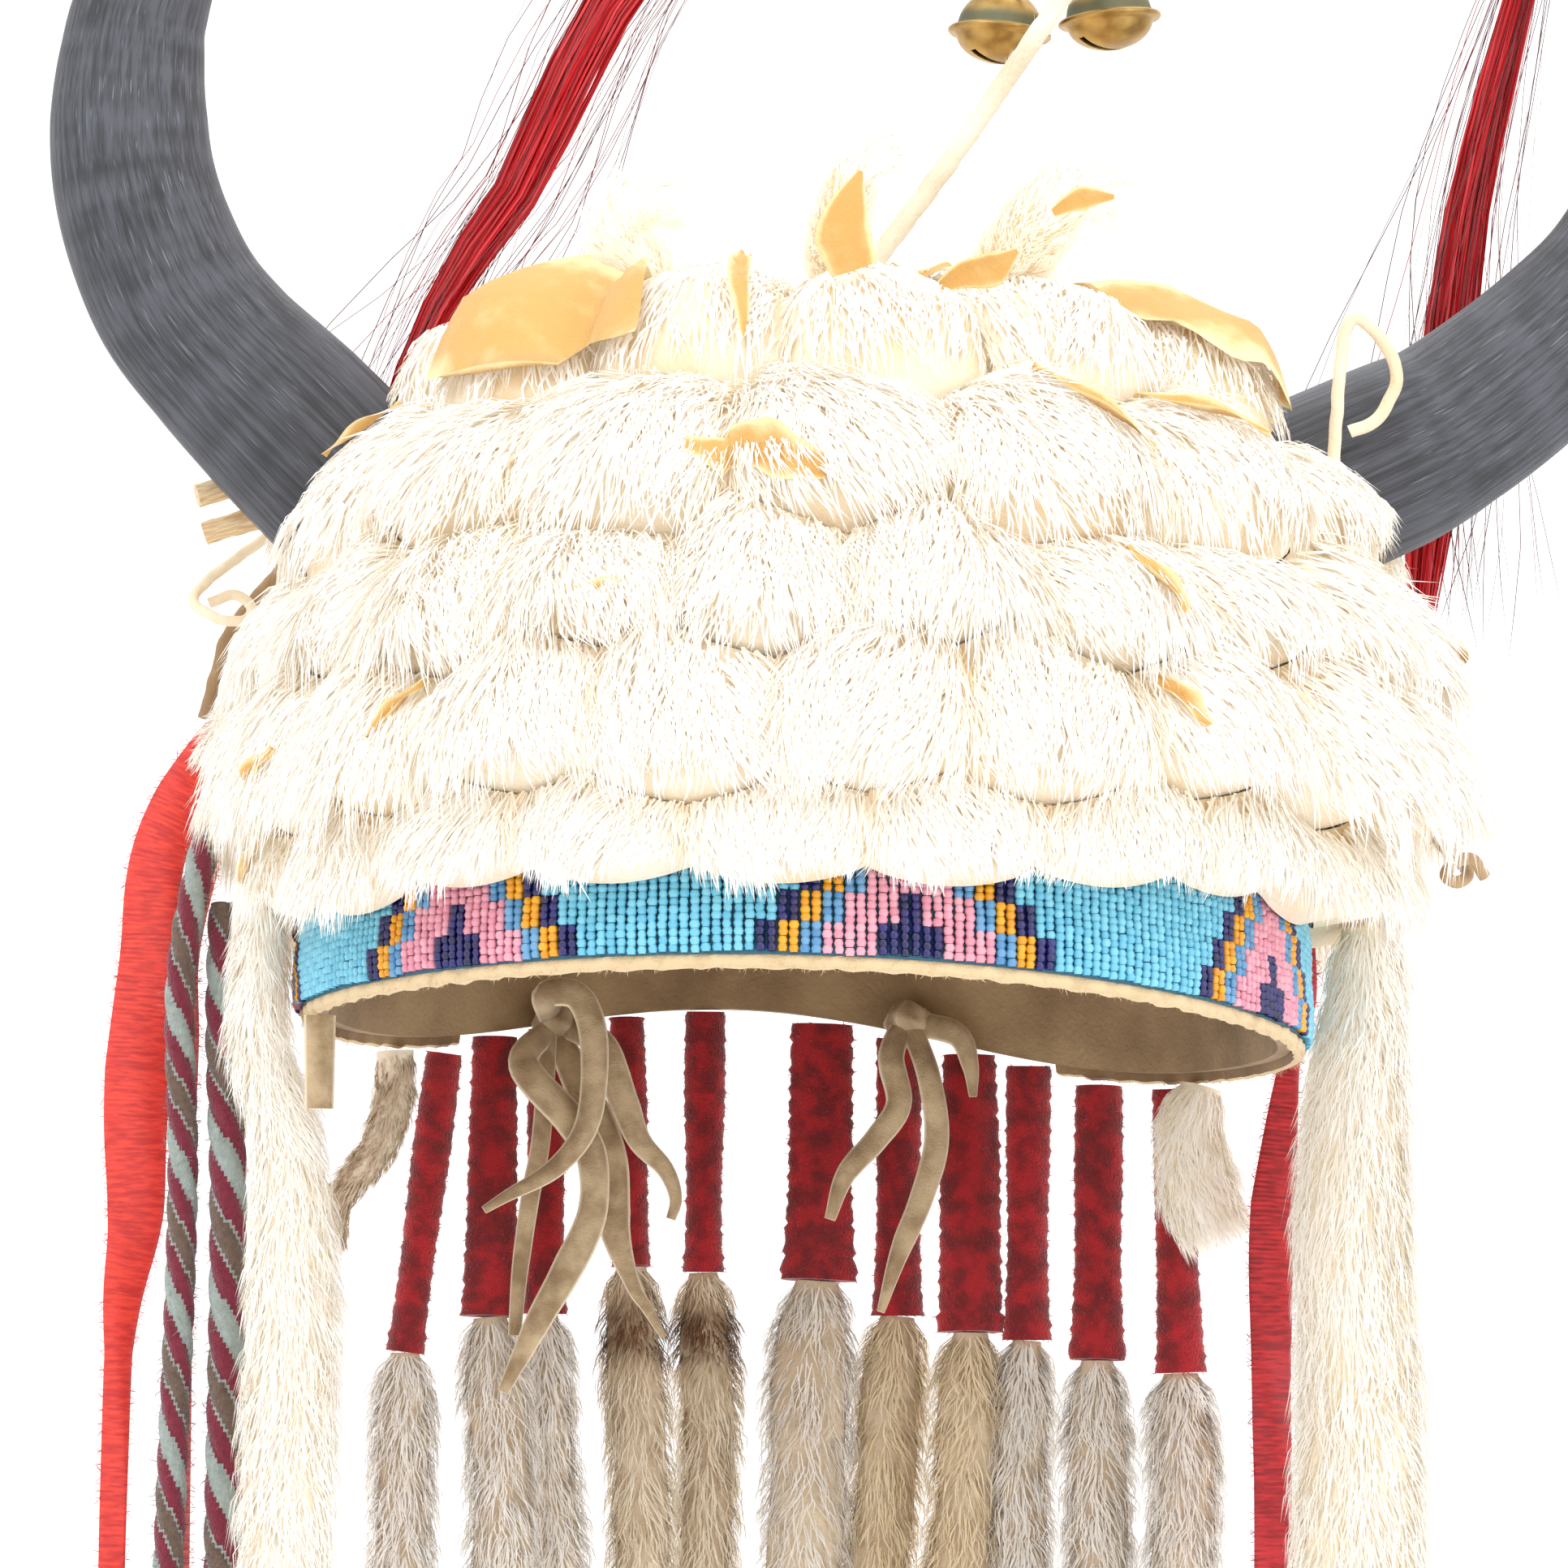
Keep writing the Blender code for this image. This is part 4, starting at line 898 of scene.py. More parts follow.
class HEADDRESS_OT_beads(bpy.types.Operator):
    """Strings the seed beads of the band in stepped triangles"""

    bl_idname = "headdress.beads"
    bl_label = "Beadwork"

    def execute(self, context):
        settings = context.scene.headdress_beads
        rng = np.random.default_rng(31)
        fine = np.linspace(-BEAD_HALF_TURN, BEAD_HALF_TURN, 2000)
        line = wall_point(fine, 0.012 + 0 * fine, BEAD_OUT - 0.0009)
        place = np.concatenate(((0.0,), np.cumsum(np.linalg.norm(np.diff(line, axis=0), axis=1))))
        pitch = place[-1] / settings.columns
        turns = np.interp((np.arange(settings.columns) + 0.5) * pitch, place, fine)
        centres = [round(np.interp(math.radians(a), fine, place) / pitch) for a in PYRAMIDS]
        ring = np.linspace(0, 2 * np.pi, BEAD_SIDES, endpoint=False)
        body = Body()
        levels = np.array((-0.5, 0.0, 0.5))
        girth = np.array((0.72, 1.0, 0.72))
        faces = grid_faces(len(levels), BEAD_SIDES)
        corners = len(levels) * BEAD_SIDES
        groups = {kind: [] for kind in range(5)}
        for column, turn in enumerate(turns):
            drift = 0.0003 * math.sin(column * 0.37) + 0.0002 * rng.normal()
            for row in range(settings.rows):
                height = BEAD_EDGE + 0.0004 + (row + 0.5) * settings.pitch + drift * 0.4
                lane = 0.00028 * abs(math.sin(math.pi * row / 8))
                jitter = rng.normal(size=3) * 0.00006
                base = float(rim_z(turn))
                middle = wall_point(np.array(turn), np.array(base + height), 0.0031 + lane) + jitter
                groups[bead_colour(column, row, centres)].append(
                    (middle, turn, 1 + 0.07 * rng.normal(), rng.random())
                )
        for kind, beads in groups.items():
            middle, turn, size, tone = (np.array(values) for values in zip(*beads))
            size = size.clip(0.85, 1.12)
            angle = turn[:, None] + ring[None]
            radius = settings.radius * (size[:, None, None] * girth[None, :, None])
            x = middle[:, 0, None, None] + radius * np.sin(angle)[:, None]
            y = middle[:, 1, None, None] - radius * np.cos(angle)[:, None]
            z = middle[:, 2, None, None] + 0 * x
            z = z + levels[None, :, None] * settings.pitch * 1.02
            points = np.stack((x, y, z), axis=-1)
            many = faces[None] + np.arange(len(beads))[:, None, None] * corners
            body.add(points, many.reshape(-1, 4), kind, np.repeat(tone, corners))
        steps = 300
        turn = np.linspace(-BEAD_HALF_TURN, BEAD_HALF_TURN, steps)
        base = rim_z(turn)
        top = BEAD_EDGE + settings.rows * settings.pitch
        under = np.stack(
            [wall_point(turn, base + h, 0.0024) for h in (BEAD_EDGE, 0.01, 0.02, top)], axis=1
        )
        body.add(under, grid_faces(steps, 4, False), 5)
        finishes = []
        for name, dark, light in BEAD_COLOURS:
            glass = Finish(f"bead_{name}", rough=0.22, coat=0.35)
            glass.colour(glass.mix(glass.tone(), shade(*dark), shade(*light)))
            finishes.append(glass)
        thread = Finish("bead_thread", rough=0.9)
        thread.colour(thread.mix(thread.noise(800.0), shade(48, 92, 112), shade(84, 132, 150)))
        finishes.append(thread)
        body.build("beadwork", finishes)
        return {"FINISHED"}


# Cut edges and undersides of hide that show in the fur, two of them also the painted shade of a
# crease: tier, the column and the share down the lock where each starts and ends, and its width in
# millimetres.
FLAPS = (
    (0, -10.8, 0.84, -4.6, 0.93, 12.5),
    (0, -11.6, 0.60, -10.0, 0.72, 3.5),
    (1, -12.0, 0.15, -12.5, 0.55, 3.5),
    (0, -2.9, 0.60, -2.3, 0.98, 4.6),
    (0, 2.6, 0.44, 4.9, 0.50, 5.0),
    (0, 7.8, 0.66, 12.4, 0.94, 7.5),
    (1, -3.0, 0.86, -0.6, 0.96, 3.6),
    (1, 3.4, 0.30, 5.4, 0.72, 3.4),
    (1, 6.3, 0.10, 7.9, 0.60, 3.0),
    (2, -4.8, 0.93, -3.0, 0.97, 3.2),
    # Ochre hide laid along a dark crease: partly painted shade.
    (2, 4.2, 0.30, 4.9, 0.96, 3.2),
    (2, 13.9, 0.60, 13.6, 1.00, 8.0),
    # Ochre hide laid along a dark crease: partly painted shade.
    (3, 4.6, 0.20, 5.0, 0.83, 3.4),
    (3, -11.0, 0.72, -12.0, 0.99, 3.2),
    (4, -12.8, 0.30, -13.5, 0.95, 4.0),
    (3, -7.6, 0.15, -8.3, 0.75, 2.4),
    (0, 19.0, 0.50, 22.0, 0.85, 7.0),
    (1, 27.0, 0.55, 29.6, 0.84, 5.0),
    (2, 34.0, 0.15, 35.2, 0.80, 3.6),
    (0, 38.0, 0.60, 41.0, 0.84, 6.0),
)


def flap(body, row, finish):
    """A leaf of bare hide that lies on a tier, its edges a little raised."""
    tier, column, place, last_column, last_place, wide = row
    share = np.linspace(0.0, 1.0, 22)[:, None]
    u = np.linspace(-1.0, 1.0, 9)[None, :]
    step = np.array(((last_column - column) * 11, (last_place - place) * 24))
    step = step / np.linalg.norm(step)
    half = wide / 2 * np.sin(np.pi * (0.06 + 0.9 * share)) ** 0.6
    half = half * (1 + 0.12 * np.sin(17 * share + column))
    at = column + (last_column - column) * share - u * half * step[1] / 11
    down = place + (last_place - place) * share + u * half * step[0] / 24
    rise = 0.0014 + 0.00016 * wide + 0.0012 * u**2 + 0.0006 * np.sin(9 * share + 3 * u)
    points = lock_point(tier, at, down.clip(0.0, 1.0), 0.0)
    out = unit(points * (1.0, 1.0, 0.7))
    points = points + out * rise[..., None]
    # Tone rises to the edges: painted light on the raised edges, painted shade in the lower middle.
    body.add(points, grid_faces(22, 9, False), finish, np.abs(u) ** 3 + 0 * share)


class HEADDRESS_OT_fur(bpy.types.Operator):
    """Grows the tiers of cut fur round the cap"""

    bl_idname = "headdress.fur"
    bl_label = "Fur tiers"

    def execute(self, context):
        settings = context.scene.headdress_hair
        # The last number of a fur finish is its painted glow.
        white = fur_finish("fur", shade(249, 247, 243), shade(244, 233, 213),
                           shade(216, 166, 98), 0.12)
        bare = hide_finish("fur_hide", shade(246, 234, 212), shade(236, 202, 144))
        ochre = hide_finish("fur_flap", shade(246, 224, 170), shade(218, 170, 98), 700.0)
        for tier, (name, *_, off, blades, long, shorter) in enumerate(TIERS):
            rng = np.random.default_rng(40 + tier)
            body = Body()
            columns = np.linspace(0, FUR_COLUMNS, TIER_COLUMNS, endpoint=False)[None, :]
            share = np.linspace(0.0, 1.0, TIER_ROWS)[:, None]
            grid = lock_point(tier, columns + 0 * share, share + 0 * columns, 0.0016)
            hem = cap_point(
                2 * np.pi * columns[0] / FUR_COLUMNS, tip_line(tier, columns[0]), off
            )
            grid = np.concatenate((grid, hem[None]))
            body.add(grid, grid_faces(TIER_ROWS + 1, TIER_COLUMNS), 1, 0.6)

            size = int(blades * settings.density)
            column = rng.random(size) * FUR_COLUMNS
            place = 0.97 * rng.random(size) ** 0.85
            step = 0.02
            here = lock_point(tier, column, place)
            below = lock_point(tier, column, (place + step).clip(0, 1.0))
            above = lock_point(tier, column, (place - step).clip(0, 1.0))
            beside = lock_point(tier, column + 0.15, place) - lock_point(tier, column - 0.15, place)
            flow = unit(below - above)
            normal = unit(np.cross(flow, beside))
            lock, across = lock_of(tier, column)
            out = here - lock_point(tier, column, place, 0.002)
            normal = np.where((normal * out).sum(1, keepdims=True) < 0, -normal, normal)
            hang = (place**1.5)[:, None] * 0.85
            flow = flow * (1 - hang) + unit(DOWN + unit(here * (1, 1, 0)) * 0.12) * hang
            lean = 0.3 * np.sin(5.1 * lock + 1.7 * tier) + 0.3 * np.sin(1.9 * column + 1.3 * tier)
            flow = flow + lean[:, None] * unit(beside)
            flow = flow - 0.6 * ((across - 0.5) * place**2)[:, None] * unit(beside)
            keep = outside_horns(here, 0.001)
            edge = np.abs(across - 0.5) * 2
            # Tone falls at each lock's edges and varies from lock to lock; the drop at the top of the
            # tier is painted shade under the tips of the tier above.
            tone = 0.94 - 0.5 * edge**9 - 0.12 * (place < 0.08) + 0.05 * np.sin(3.3 * lock)
            swing = 1.0 + 0.2 * np.sin(7.7 * lock + tier) + 0.2 * np.sin(2.3 * column + 1.7 * tier)
            swing = swing * (1.0 - shorter * place**3)
            body.hairs(
                rng, here[keep] - normal[keep] * 0.0004, flow[keep], normal[keep],
                (long * MM * swing)[keep], settings.width, 0, tone[keep],
                lift=0.22, wild=0.3, droop=0.1, clumps=int(size / 14), gather=settings.gather,
            )
            if tier == 0:
                body.lid(grid[0], 1, 0.6)
                crown = grid[0].mean(0)
                size = 500
                angle = rng.random(size) * 2 * np.pi
                ray = np.stack((np.cos(angle), np.sin(angle), 0 * angle), axis=1)
                reach = np.linalg.norm(grid[0] - crown, axis=1).mean()
                roots = crown + ray * (reach * np.sqrt(rng.random(size)))[:, None]
                body.hairs(rng, roots, ray, UP + 0 * ray, long * MM, settings.width, 0, 0.9,
                           lift=0.2, wild=0.5, clumps=40)
            for leaf in FLAPS:
                if leaf[0] == tier:
                    flap(body, leaf, 2)
            body.build(name, [white, bare, ochre])
        return {"FINISHED"}


class HEADDRESS_OT_horns(bpy.types.Operator):
    """Shapes the split horns with their lengthwise grain and scratches"""

    bl_idname = "headdress.horns"
    bl_label = "Horns"

    def execute(self, context):
        for name in HORNS:
            line = horn_line(name, 6)
            _, side, _ = directions(line)
            wide = HORN_WIDTH * shares_at(HORN_SHARES, len(line)) / 2
            deep = 2 * wide * HORN_DEPTH
            wall = np.minimum(HORN_WALL, 0.35 * wide)
            angle = np.linspace(0, np.pi, HORN_SIDES)[None, :]
            sections = []
            for a, b in ((wide, deep), (wide - wall, deep - wall)):
                arc = side[:, None] * (a[:, None] * np.cos(angle))[..., None]
                arc = arc + np.array((0, -1, 0)) * (b[:, None] * np.sin(angle))[..., None]
                sections.append(line[:, None] + arc)
            ring = np.concatenate((sections[0], sections[1][:, ::-1]), axis=1)
            reach = np.linspace(0, length_of(line) * 1000, len(line))[:, None]
            round_it = np.concatenate((angle, angle[:, ::-1] + 4), axis=1) * 12
            grain = np.stack(np.broadcast_arrays(round_it, reach, 0 * reach), axis=-1)
            body = Body()
            body.add(ring, grid_faces(len(line), 2 * HORN_SIDES), 0, 0.5, grain)
            horn = Finish(name, rough=0.42, coat=0.08)
            streaks = horn.noise(1.0, 4.0, horn.grain(1.3, 0.05))
            fine = horn.noise(2.6, 3.0, horn.grain(2.6, 0.06))
            rings = horn.noise(1.0, 1.0, horn.grain(0.03, 0.12))
            scratch = horn.between(horn.noise(1.0, 1.0, horn.grain(4.0, 0.1)), 0.66, 0.74)
            tint = streaks * 0.45 + fine * 0.35 + rings * 0.25
            dark = horn.mix(horn.between(tint, 0.40, 0.66), shade(36, 37, 41), shade(82, 84, 93))
            horn.colour(horn.mix(scratch * 0.55, dark, shade(140, 142, 152)))
            horn.rough(0.34 + fine * 0.25 + rings * 0.12)
            horn.bump(fine * 0.8 + rings * 0.3, 0.0005, 0.4)
            body.build(name, [horn])
        return {"FINISHED"}


# Falls of horsehair: points in millimetres, and widths as shares of the full width.
PLUMES = {
    "plume_left": (
        ((-64.6, 1.9, 242.1), (-49.6, 10.0, 246.6), (-32.6, 18.0, 242.6), (-21.6, 24.0, 231.6),
         (-20.6, 26.0, 218.6), (-33.6, 26.0, 199.6), (-44.6, 26.0, 177.6), (-49.6, 26.0, 165.6),
         (-58.6, 26.0, 152.6), (-69.6, 26.0, 133.6), (-75.6, 26.0, 115.6)),
        (0.35, 0.5, 0.65, 0.75, 0.85, 0.95, 1.0, 0.85, 0.75, 0.5, 0.45),
    ),
    "plume_right": (
        ((139.5, 1.6, 230.1), (143.5, 17.0, 218.1), (140.5, 27.0, 202.1), (132.5, 30.0, 169.1),
         (128.5, 30.0, 145.1), (124.5, 30.0, 111.1), (121.5, 30.0, 85.1)),
        (0.35, 0.5, 0.7, 0.85, 1.0, 1.0, 0.6),
    ),
}
PLUME_HALF = 0.0044
PLUME_STEPS = 15


class HEADDRESS_OT_plumes(bpy.types.Operator):
    """Lets the red horsehair fall from behind the horns' tips"""

    bl_idname = "headdress.plumes"
    bl_label = "Horsehair plumes"

    def execute(self, context):
        for number, (name, (points, shares)) in enumerate(PLUMES.items()):
            rng = np.random.default_rng(60 + number)
            route = course(points, 8, PLUME_STEPS)
            _, side, out = directions(route)
            half = PLUME_HALF * shares_at(shares, PLUME_STEPS)
            body = Body()
            for count, spread, width, tone in ((560, 1.0, 0.00046, 0.5), (70, 3.0, 0.00016, 0.15)):
                radius = np.sqrt(rng.random(count)) * spread
                angle = rng.random(count) * 2 * np.pi
                share = np.linspace(0, 1, PLUME_STEPS)
                angle = angle[:, None] + 0.9 * rng.normal(size=(count, 1)) * share
                start = rng.random((count, 1)) * 6
                wander = start + np.linspace(0, 5, PLUME_STEPS) * (1 + rng.random((count, 1)))
                wander = 1 + 0.18 * np.sin(wander)
                x = radius[:, None] * np.cos(angle) * half * wander
                y = radius[:, None] * np.sin(angle) * half * wander * 0.8
                lines = route[None] + side[None] * x[..., None] + out[None] * y[..., None]
                if spread > 1:
                    fly = share[None, :, None] ** 2
                    start = rng.random((count, 1, 1)) * 0.5
                    fly = (fly - start).clip(0, 1) * 0.016
                    lines = lines + fly * rng.normal(size=(count, 1, 3)) * (1, 0.6, 0.4)
                body.strands(lines, width, 0, tone + 0.35 * (rng.random(count) - 0.5))
            hair = Finish(name, rough=0.45)
            tone = hair.tone()
            red = hair.mix(hair.between(tone, 0.3, 0.7), shade(176, 14, 26), shade(226, 44, 52))
            hair.colour(hair.mix(hair.between(tone, 0.2, 0.34), shade(88, 20, 22), red))
            body.build(name, [hair])
        return {"FINISHED"}


# The rod's middle line in millimetres, and each bell's middle and its tilt in degrees.
ROD = ((-14, -12, 108), (8, -12, 138.5), (26, -12, 163), (43, -12, 188), (53, -12, 203.5))
ROD_RADIUS = 0.0019
BELLS ={"bell_left": ((37.4, 1.0, 190.2), 5), "bell_right": ((58.2, 1.0, 193.2), -6)}


class HEADDRESS_OT_rod(bpy.types.Operator):
    """Wraps the rod on the crown and turns its two brass bells"""

    bl_idname = "headdress.rod"
    bl_label = "Rod and bells"

    def execute(self, context):
        white = hide_finish("rod_hide", shade(238, 232, 214), shade(206, 186, 150))
        route = course(ROD, 10, 150)

        def wrap(angle, share):
            turn = (angle / (2 * np.pi) + 17 * share) % 1.0
            return 0.93 + 0.12 * turn + 0.03 * np.sin(9 * angle + 90 * share)

        body = Body()
        body.sweep(route, [ROD_RADIUS] * 2, [ROD_RADIUS] * 2, ROD_SIDES, 0, None, wrap)
        rng = np.random.default_rng(71)
        pick, roots, out = body.fuzz_roots(rng, route, ROD_SIDES, 700)
        flow = unit(np.gradient(route, axis=0))[pick // ROD_SIDES]
        body.hairs(rng, roots, flow, out, 0.0016, 0.0001, 0, 0.9, lift=0.5, wild=0.5)
        body.build("crown_rod", [white])

        tops = [np.array(place) * MM + (0, 0, 0.0093) for place, _ in BELLS.values()]
        top = route[-1] + (-0.0015, 0.0037, -0.0015)
        body = Body()
        body.strip(even(curve([tops[0], top, tops[1]], 12), 48), [0.0015] * 2, 0.0012, 0,
                   (0, 1, 0), 0.1, 7)
        body.build("bell_tie", [white])
        for name, (place, tilt) in BELLS.items():
            self.bell(name, np.array(place) * MM, math.radians(tilt))
        return {"FINISHED"}

    def bell(self, name, place, tilt):
        """Turns a bell with a seam flange, and cuts its slot."""
        upper, lower = [], []
        for angle in np.radians(np.linspace(90, 8, 10)):
            upper.append((0.0081 * math.cos(angle), 0.0004 + 0.0080 * math.sin(angle)))
            lower.append((0.0081 * math.cos(angle), -0.0004 - 0.0052 * math.sin(angle)))
        flange = [(0.0085, 0.0006), (0.0094, 0.0005), (0.0097, 0.0002), (0.0097, -0.0002),
                  (0.0094, -0.0005), (0.0085, -0.0006)]
        inner = [(r * 0.925, z * 0.925) for r, z in reversed(upper + lower[::-1])]
        angle = np.linspace(0, 2 * np.pi, BELL_SIDES, endpoint=False)[None, :]
        box = bmesh.new()
        for profile in (upper + flange + lower[::-1], inner):
            r, z = np.array(profile).T[..., None]
            points = np.stack(np.broadcast_arrays(r * np.cos(angle), r * np.sin(angle), z), axis=-1)
            made = [box.verts.new(p) for p in points.reshape(-1, 3)]
            for quad in grid_faces(len(profile), BELL_SIDES)[:, ::-1]:
                box.faces.new([made[i] for i in quad])
        bmesh.ops.remove_doubles(box, verts=box.verts, dist=1e-6)
        mesh = bpy.data.meshes.new(name)
        box.to_mesh(mesh)
        box.free()
        mesh.shade_smooth()
        mesh.set_sharp_from_angle(angle=math.radians(50))
        brass = Finish(name, rough=0.3, metal=1.0)
        height = brass.add(
            "ShaderNodeSeparateXYZ", (brass.add("ShaderNodeTexCoord", output="Object"),), 2
        )
        spots = brass.noise(130.0, 3.0)
        patina = brass.between(height, 0.0002, 0.0011) - brass.between(height, 0.002, 0.0045)
        mottle = brass.mix(brass.between(spots, 0.2, 0.8), shade(128, 94, 46), shade(212, 176, 108))
        brass.colour(brass.mix(patina * 0.8, mottle, shade(98, 110, 96)))
        brass.rough(0.26 + spots * 0.2 + patina * 0.3)
        brass.bump(spots, 0.0002, 0.3)
        mesh.materials.append(brass.material)
        slot = bmesh.new()
        bmesh.ops.create_cube(slot, size=1.0)
        for vertex in slot.verts:
            vertex.co = Vector((vertex.co.x * 0.0122, vertex.co.y * 0.0016, vertex.co.z * 0.0056))
        cutter = bpy.data.meshes.new("slot")
        slot.to_mesh(cutter)
        slot.free()
        knife = bpy.data.objects.new("slot", cutter)
        bell = bpy.data.objects.new(f"{name}_dressed", mesh)
        for item in (knife, bell):
            item.location = place
            item.rotation_euler = (0, tilt, 0)
            bpy.context.scene.collection.objects.link(item)
        knife.location = Vector(place) + Vector((0, 0, -0.0056))
        knife.rotation_euler = (0, tilt, math.radians(25))
        cut = bell.modifiers.new("slot", "BOOLEAN")
        cut.operation = "DIFFERENCE"
        cut.object = knife
        cut.solver = "EXACT"
        bpy.context.view_layer.update()
        done = bpy.data.meshes.new_from_object(
            bell.evaluated_get(bpy.context.evaluated_depsgraph_get())
        )
        bell.modifiers.clear()
        bell.data = done
        bpy.data.objects.remove(knife, do_unlink=True)
        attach(bell, "root")
        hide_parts(name)


# Fur pieces that hang or stand free: route in millimetres, half widths, half depths, blades of
# hair, their length in millimetres, and the finish: 0 white, 1 yellowed, 2 white with more painted
# glow.
FURS = {
    "crown_curl_left": (
        ((-27.9, -33.2, 131.2), (-37.4, -41.2, 142.5), (-35.0, -43.7, 148.5), (-28.9, -43.4, 149.0)),
        (3.0, 5.6, 5.6, 5.2, 4.2), (2.0, 3.6, 3.6, 3.2, 2.5), 5000, 6.5, 2,
    ),
    "crown_curl_front": (
        ((0.0, -45.6, 134.1), (0.8, -70.6, 146.1), (4.0, -71.6, 151.1), (9.5, -70.6, 154.6)),
        (3.4, 6.0, 5.4, 4.6, 3.4), (2.0, 3.6, 3.2, 2.6, 2.0), 5000, 5.5, 2,
    ),
    "crown_curl_right": (
        ((30.4, -33.1, 134.3), (37.4, -56.1, 144.3), (42.4, -58.1, 150.3), (50.4, -57.6, 148.3)),
        (4.0, 7.0, 7.0, 6.4, 4.6), (2.4, 4.0, 4.0, 3.6, 2.6), 6000, 7.0, 2,
    ),
    "side_drop_left": (
        ((-99.4, 0.0, 23.6), (-100.0, 0.5, 10.6), (-99.5, 2.0, -1.4), (-95.0, 2.0, -17.4),
         (-93.5, 2.0, -43.4), (-94.0, 2.0, -73.4), (-94.5, 2.0, -104.5)),
        (3.6, 4.8, 5.9, 8.0, 8.7, 8.7, 8.1), (4.4, 5.5, 6.6, 7.1, 7.1, 6.6), 9000, 9.0, 0,
    ),
    "side_drop_right": (
        ((105.6, 0.0, 22.3), (105.9, 0.5, 9.3), (104.5, 1.0, -4.7), (102.5, 1.0, -34.7),
         (104.0, 1.0, -68.7), (104.0, 1.0, -105.5)),
        (5.6, 9.1, 11.5, 11.9, 13.2, 13.0), (4.4, 5.5, 6.6, 7.1, 7.1, 6.6), 11500, 9.5, 0,
    ),
    "fur_paw": (
        ((81.3, 44.9, -3.6), (79.3, 44.9, -12.6), (80.3, 44.9, -21.6), (83.3, 44.9, -30.0)),
        (4.6, 6.4, 8.0, 6.5), (2.5, 3.2, 4.0, 2.8), 3500, 7.0, 0,
    ),
    "curled_fur": (
        ((-71.2, 63.0, 3.4), (-71.2, 63.0, -4.6), (-74.2, 63.0, -14.6), (-81.2, 63.0, -24.6),
         (-82.2, 63.0, -32.6)),
        (4.2, 4.0, 3.8, 2.8, 1.6), (2.1, 2.0, 1.9, 1.4, 0.9), 2200, 4.5, 1,
    ),
}
# The white and the grey half of the yarn tuft: route, its points, half widths, blades, their
# length, tone, finish, and how much they lift and stray.
YARN_TUFT = (
    (((-101.0, 31.0, 66.0), (-105.0, 29.5, 61.0), (-108.0, 28.5, 55.5)),
     10, (1.6, 2.6, 1.6), 1200, 5.5, 0.85, 1, 0.6, 0.6),
    (((-98.4, 47.0, 75.3), (-98.7, 47.6, 70.8), (-99.0, 48.2, 66.3), (-99.3, 48.8, 61.8)),
     12, (2.2, 4.2, 4.6, 2.6), 1800, 3.0, 0.5, 0, 0.8, 0.9),
)


# Leaves of bare hide on the curls: route in millimetres, half widths and the way across.
LEAVES = {
    "crown_curl_front": (
        (((1.0, -78.0, 131.0), (-1.0, -79.5, 137.0), (0.0, -80.0, 143.0), (2.0, -79.5, 148.5)),
         (4.2, 5.2, 3.2, 0.5), (1.0, 0.0, 0.0)),
    ),
    "crown_curl_right": (
        (((17.0, -66.0, 130.0), (22.0, -67.0, 132.5), (27.0, -67.5, 133.5), (31.5, -67.0, 137.0)),
         (0.8, 2.6, 3.4, 0.6), (0.0, -0.4, 1.0)),
        (((38.0, -67.0, 144.0), (43.0, -68.0, 146.5), (49.0, -67.5, 147.0)), (0.8, 2.4, 0.5),
         (0.0, -0.4, 1.0)),
    ),
}


def fur_on_sweep(body, rng, route, wide, deep, blades, long, tone, skin, hair, spare=0.85,
                 **growth):
    """A soft core along a route, and hair that grows down it."""
    core = body.sweep(route, [w * spare for w in wide], [d * spare for d in deep], CORE_SIDES, skin,
                      lambda angle, share: 0.5 + 0 * angle,
                      lambda angle, share: 1 + 0.07 * np.sin(3 * angle + 9 * share))
    rows = len(route)
    row = (rng.random(blades) ** 1.12) * (rows - 1.001)
    low = row.astype(int)
    part = (row - low)[:, None]
    spoke = rng.integers(0, CORE_SIDES, blades)
    next_spoke = (spoke + 1) % CORE_SIDES
    mix = rng.random(blades)[:, None]
    here = core[low, spoke] * (1 - mix) + core[low, next_spoke] * mix
    there = core[low + 1, spoke] * (1 - mix) + core[low + 1, next_spoke] * mix
    roots = here * (1 - part) + there * part
    centre = route[low] * (1 - part) + route[low + 1] * part
    normal = unit(roots - centre)
    flow = unit(there - here)
    tones = tone + 0.10 * np.sin(row * 0.9) * np.sin(spoke)
    body.hairs(rng, roots - normal * 0.0004, flow, normal, long * MM, 0.00032, hair, tones,
               clumps=blades // 22, gather=0.5, **growth)


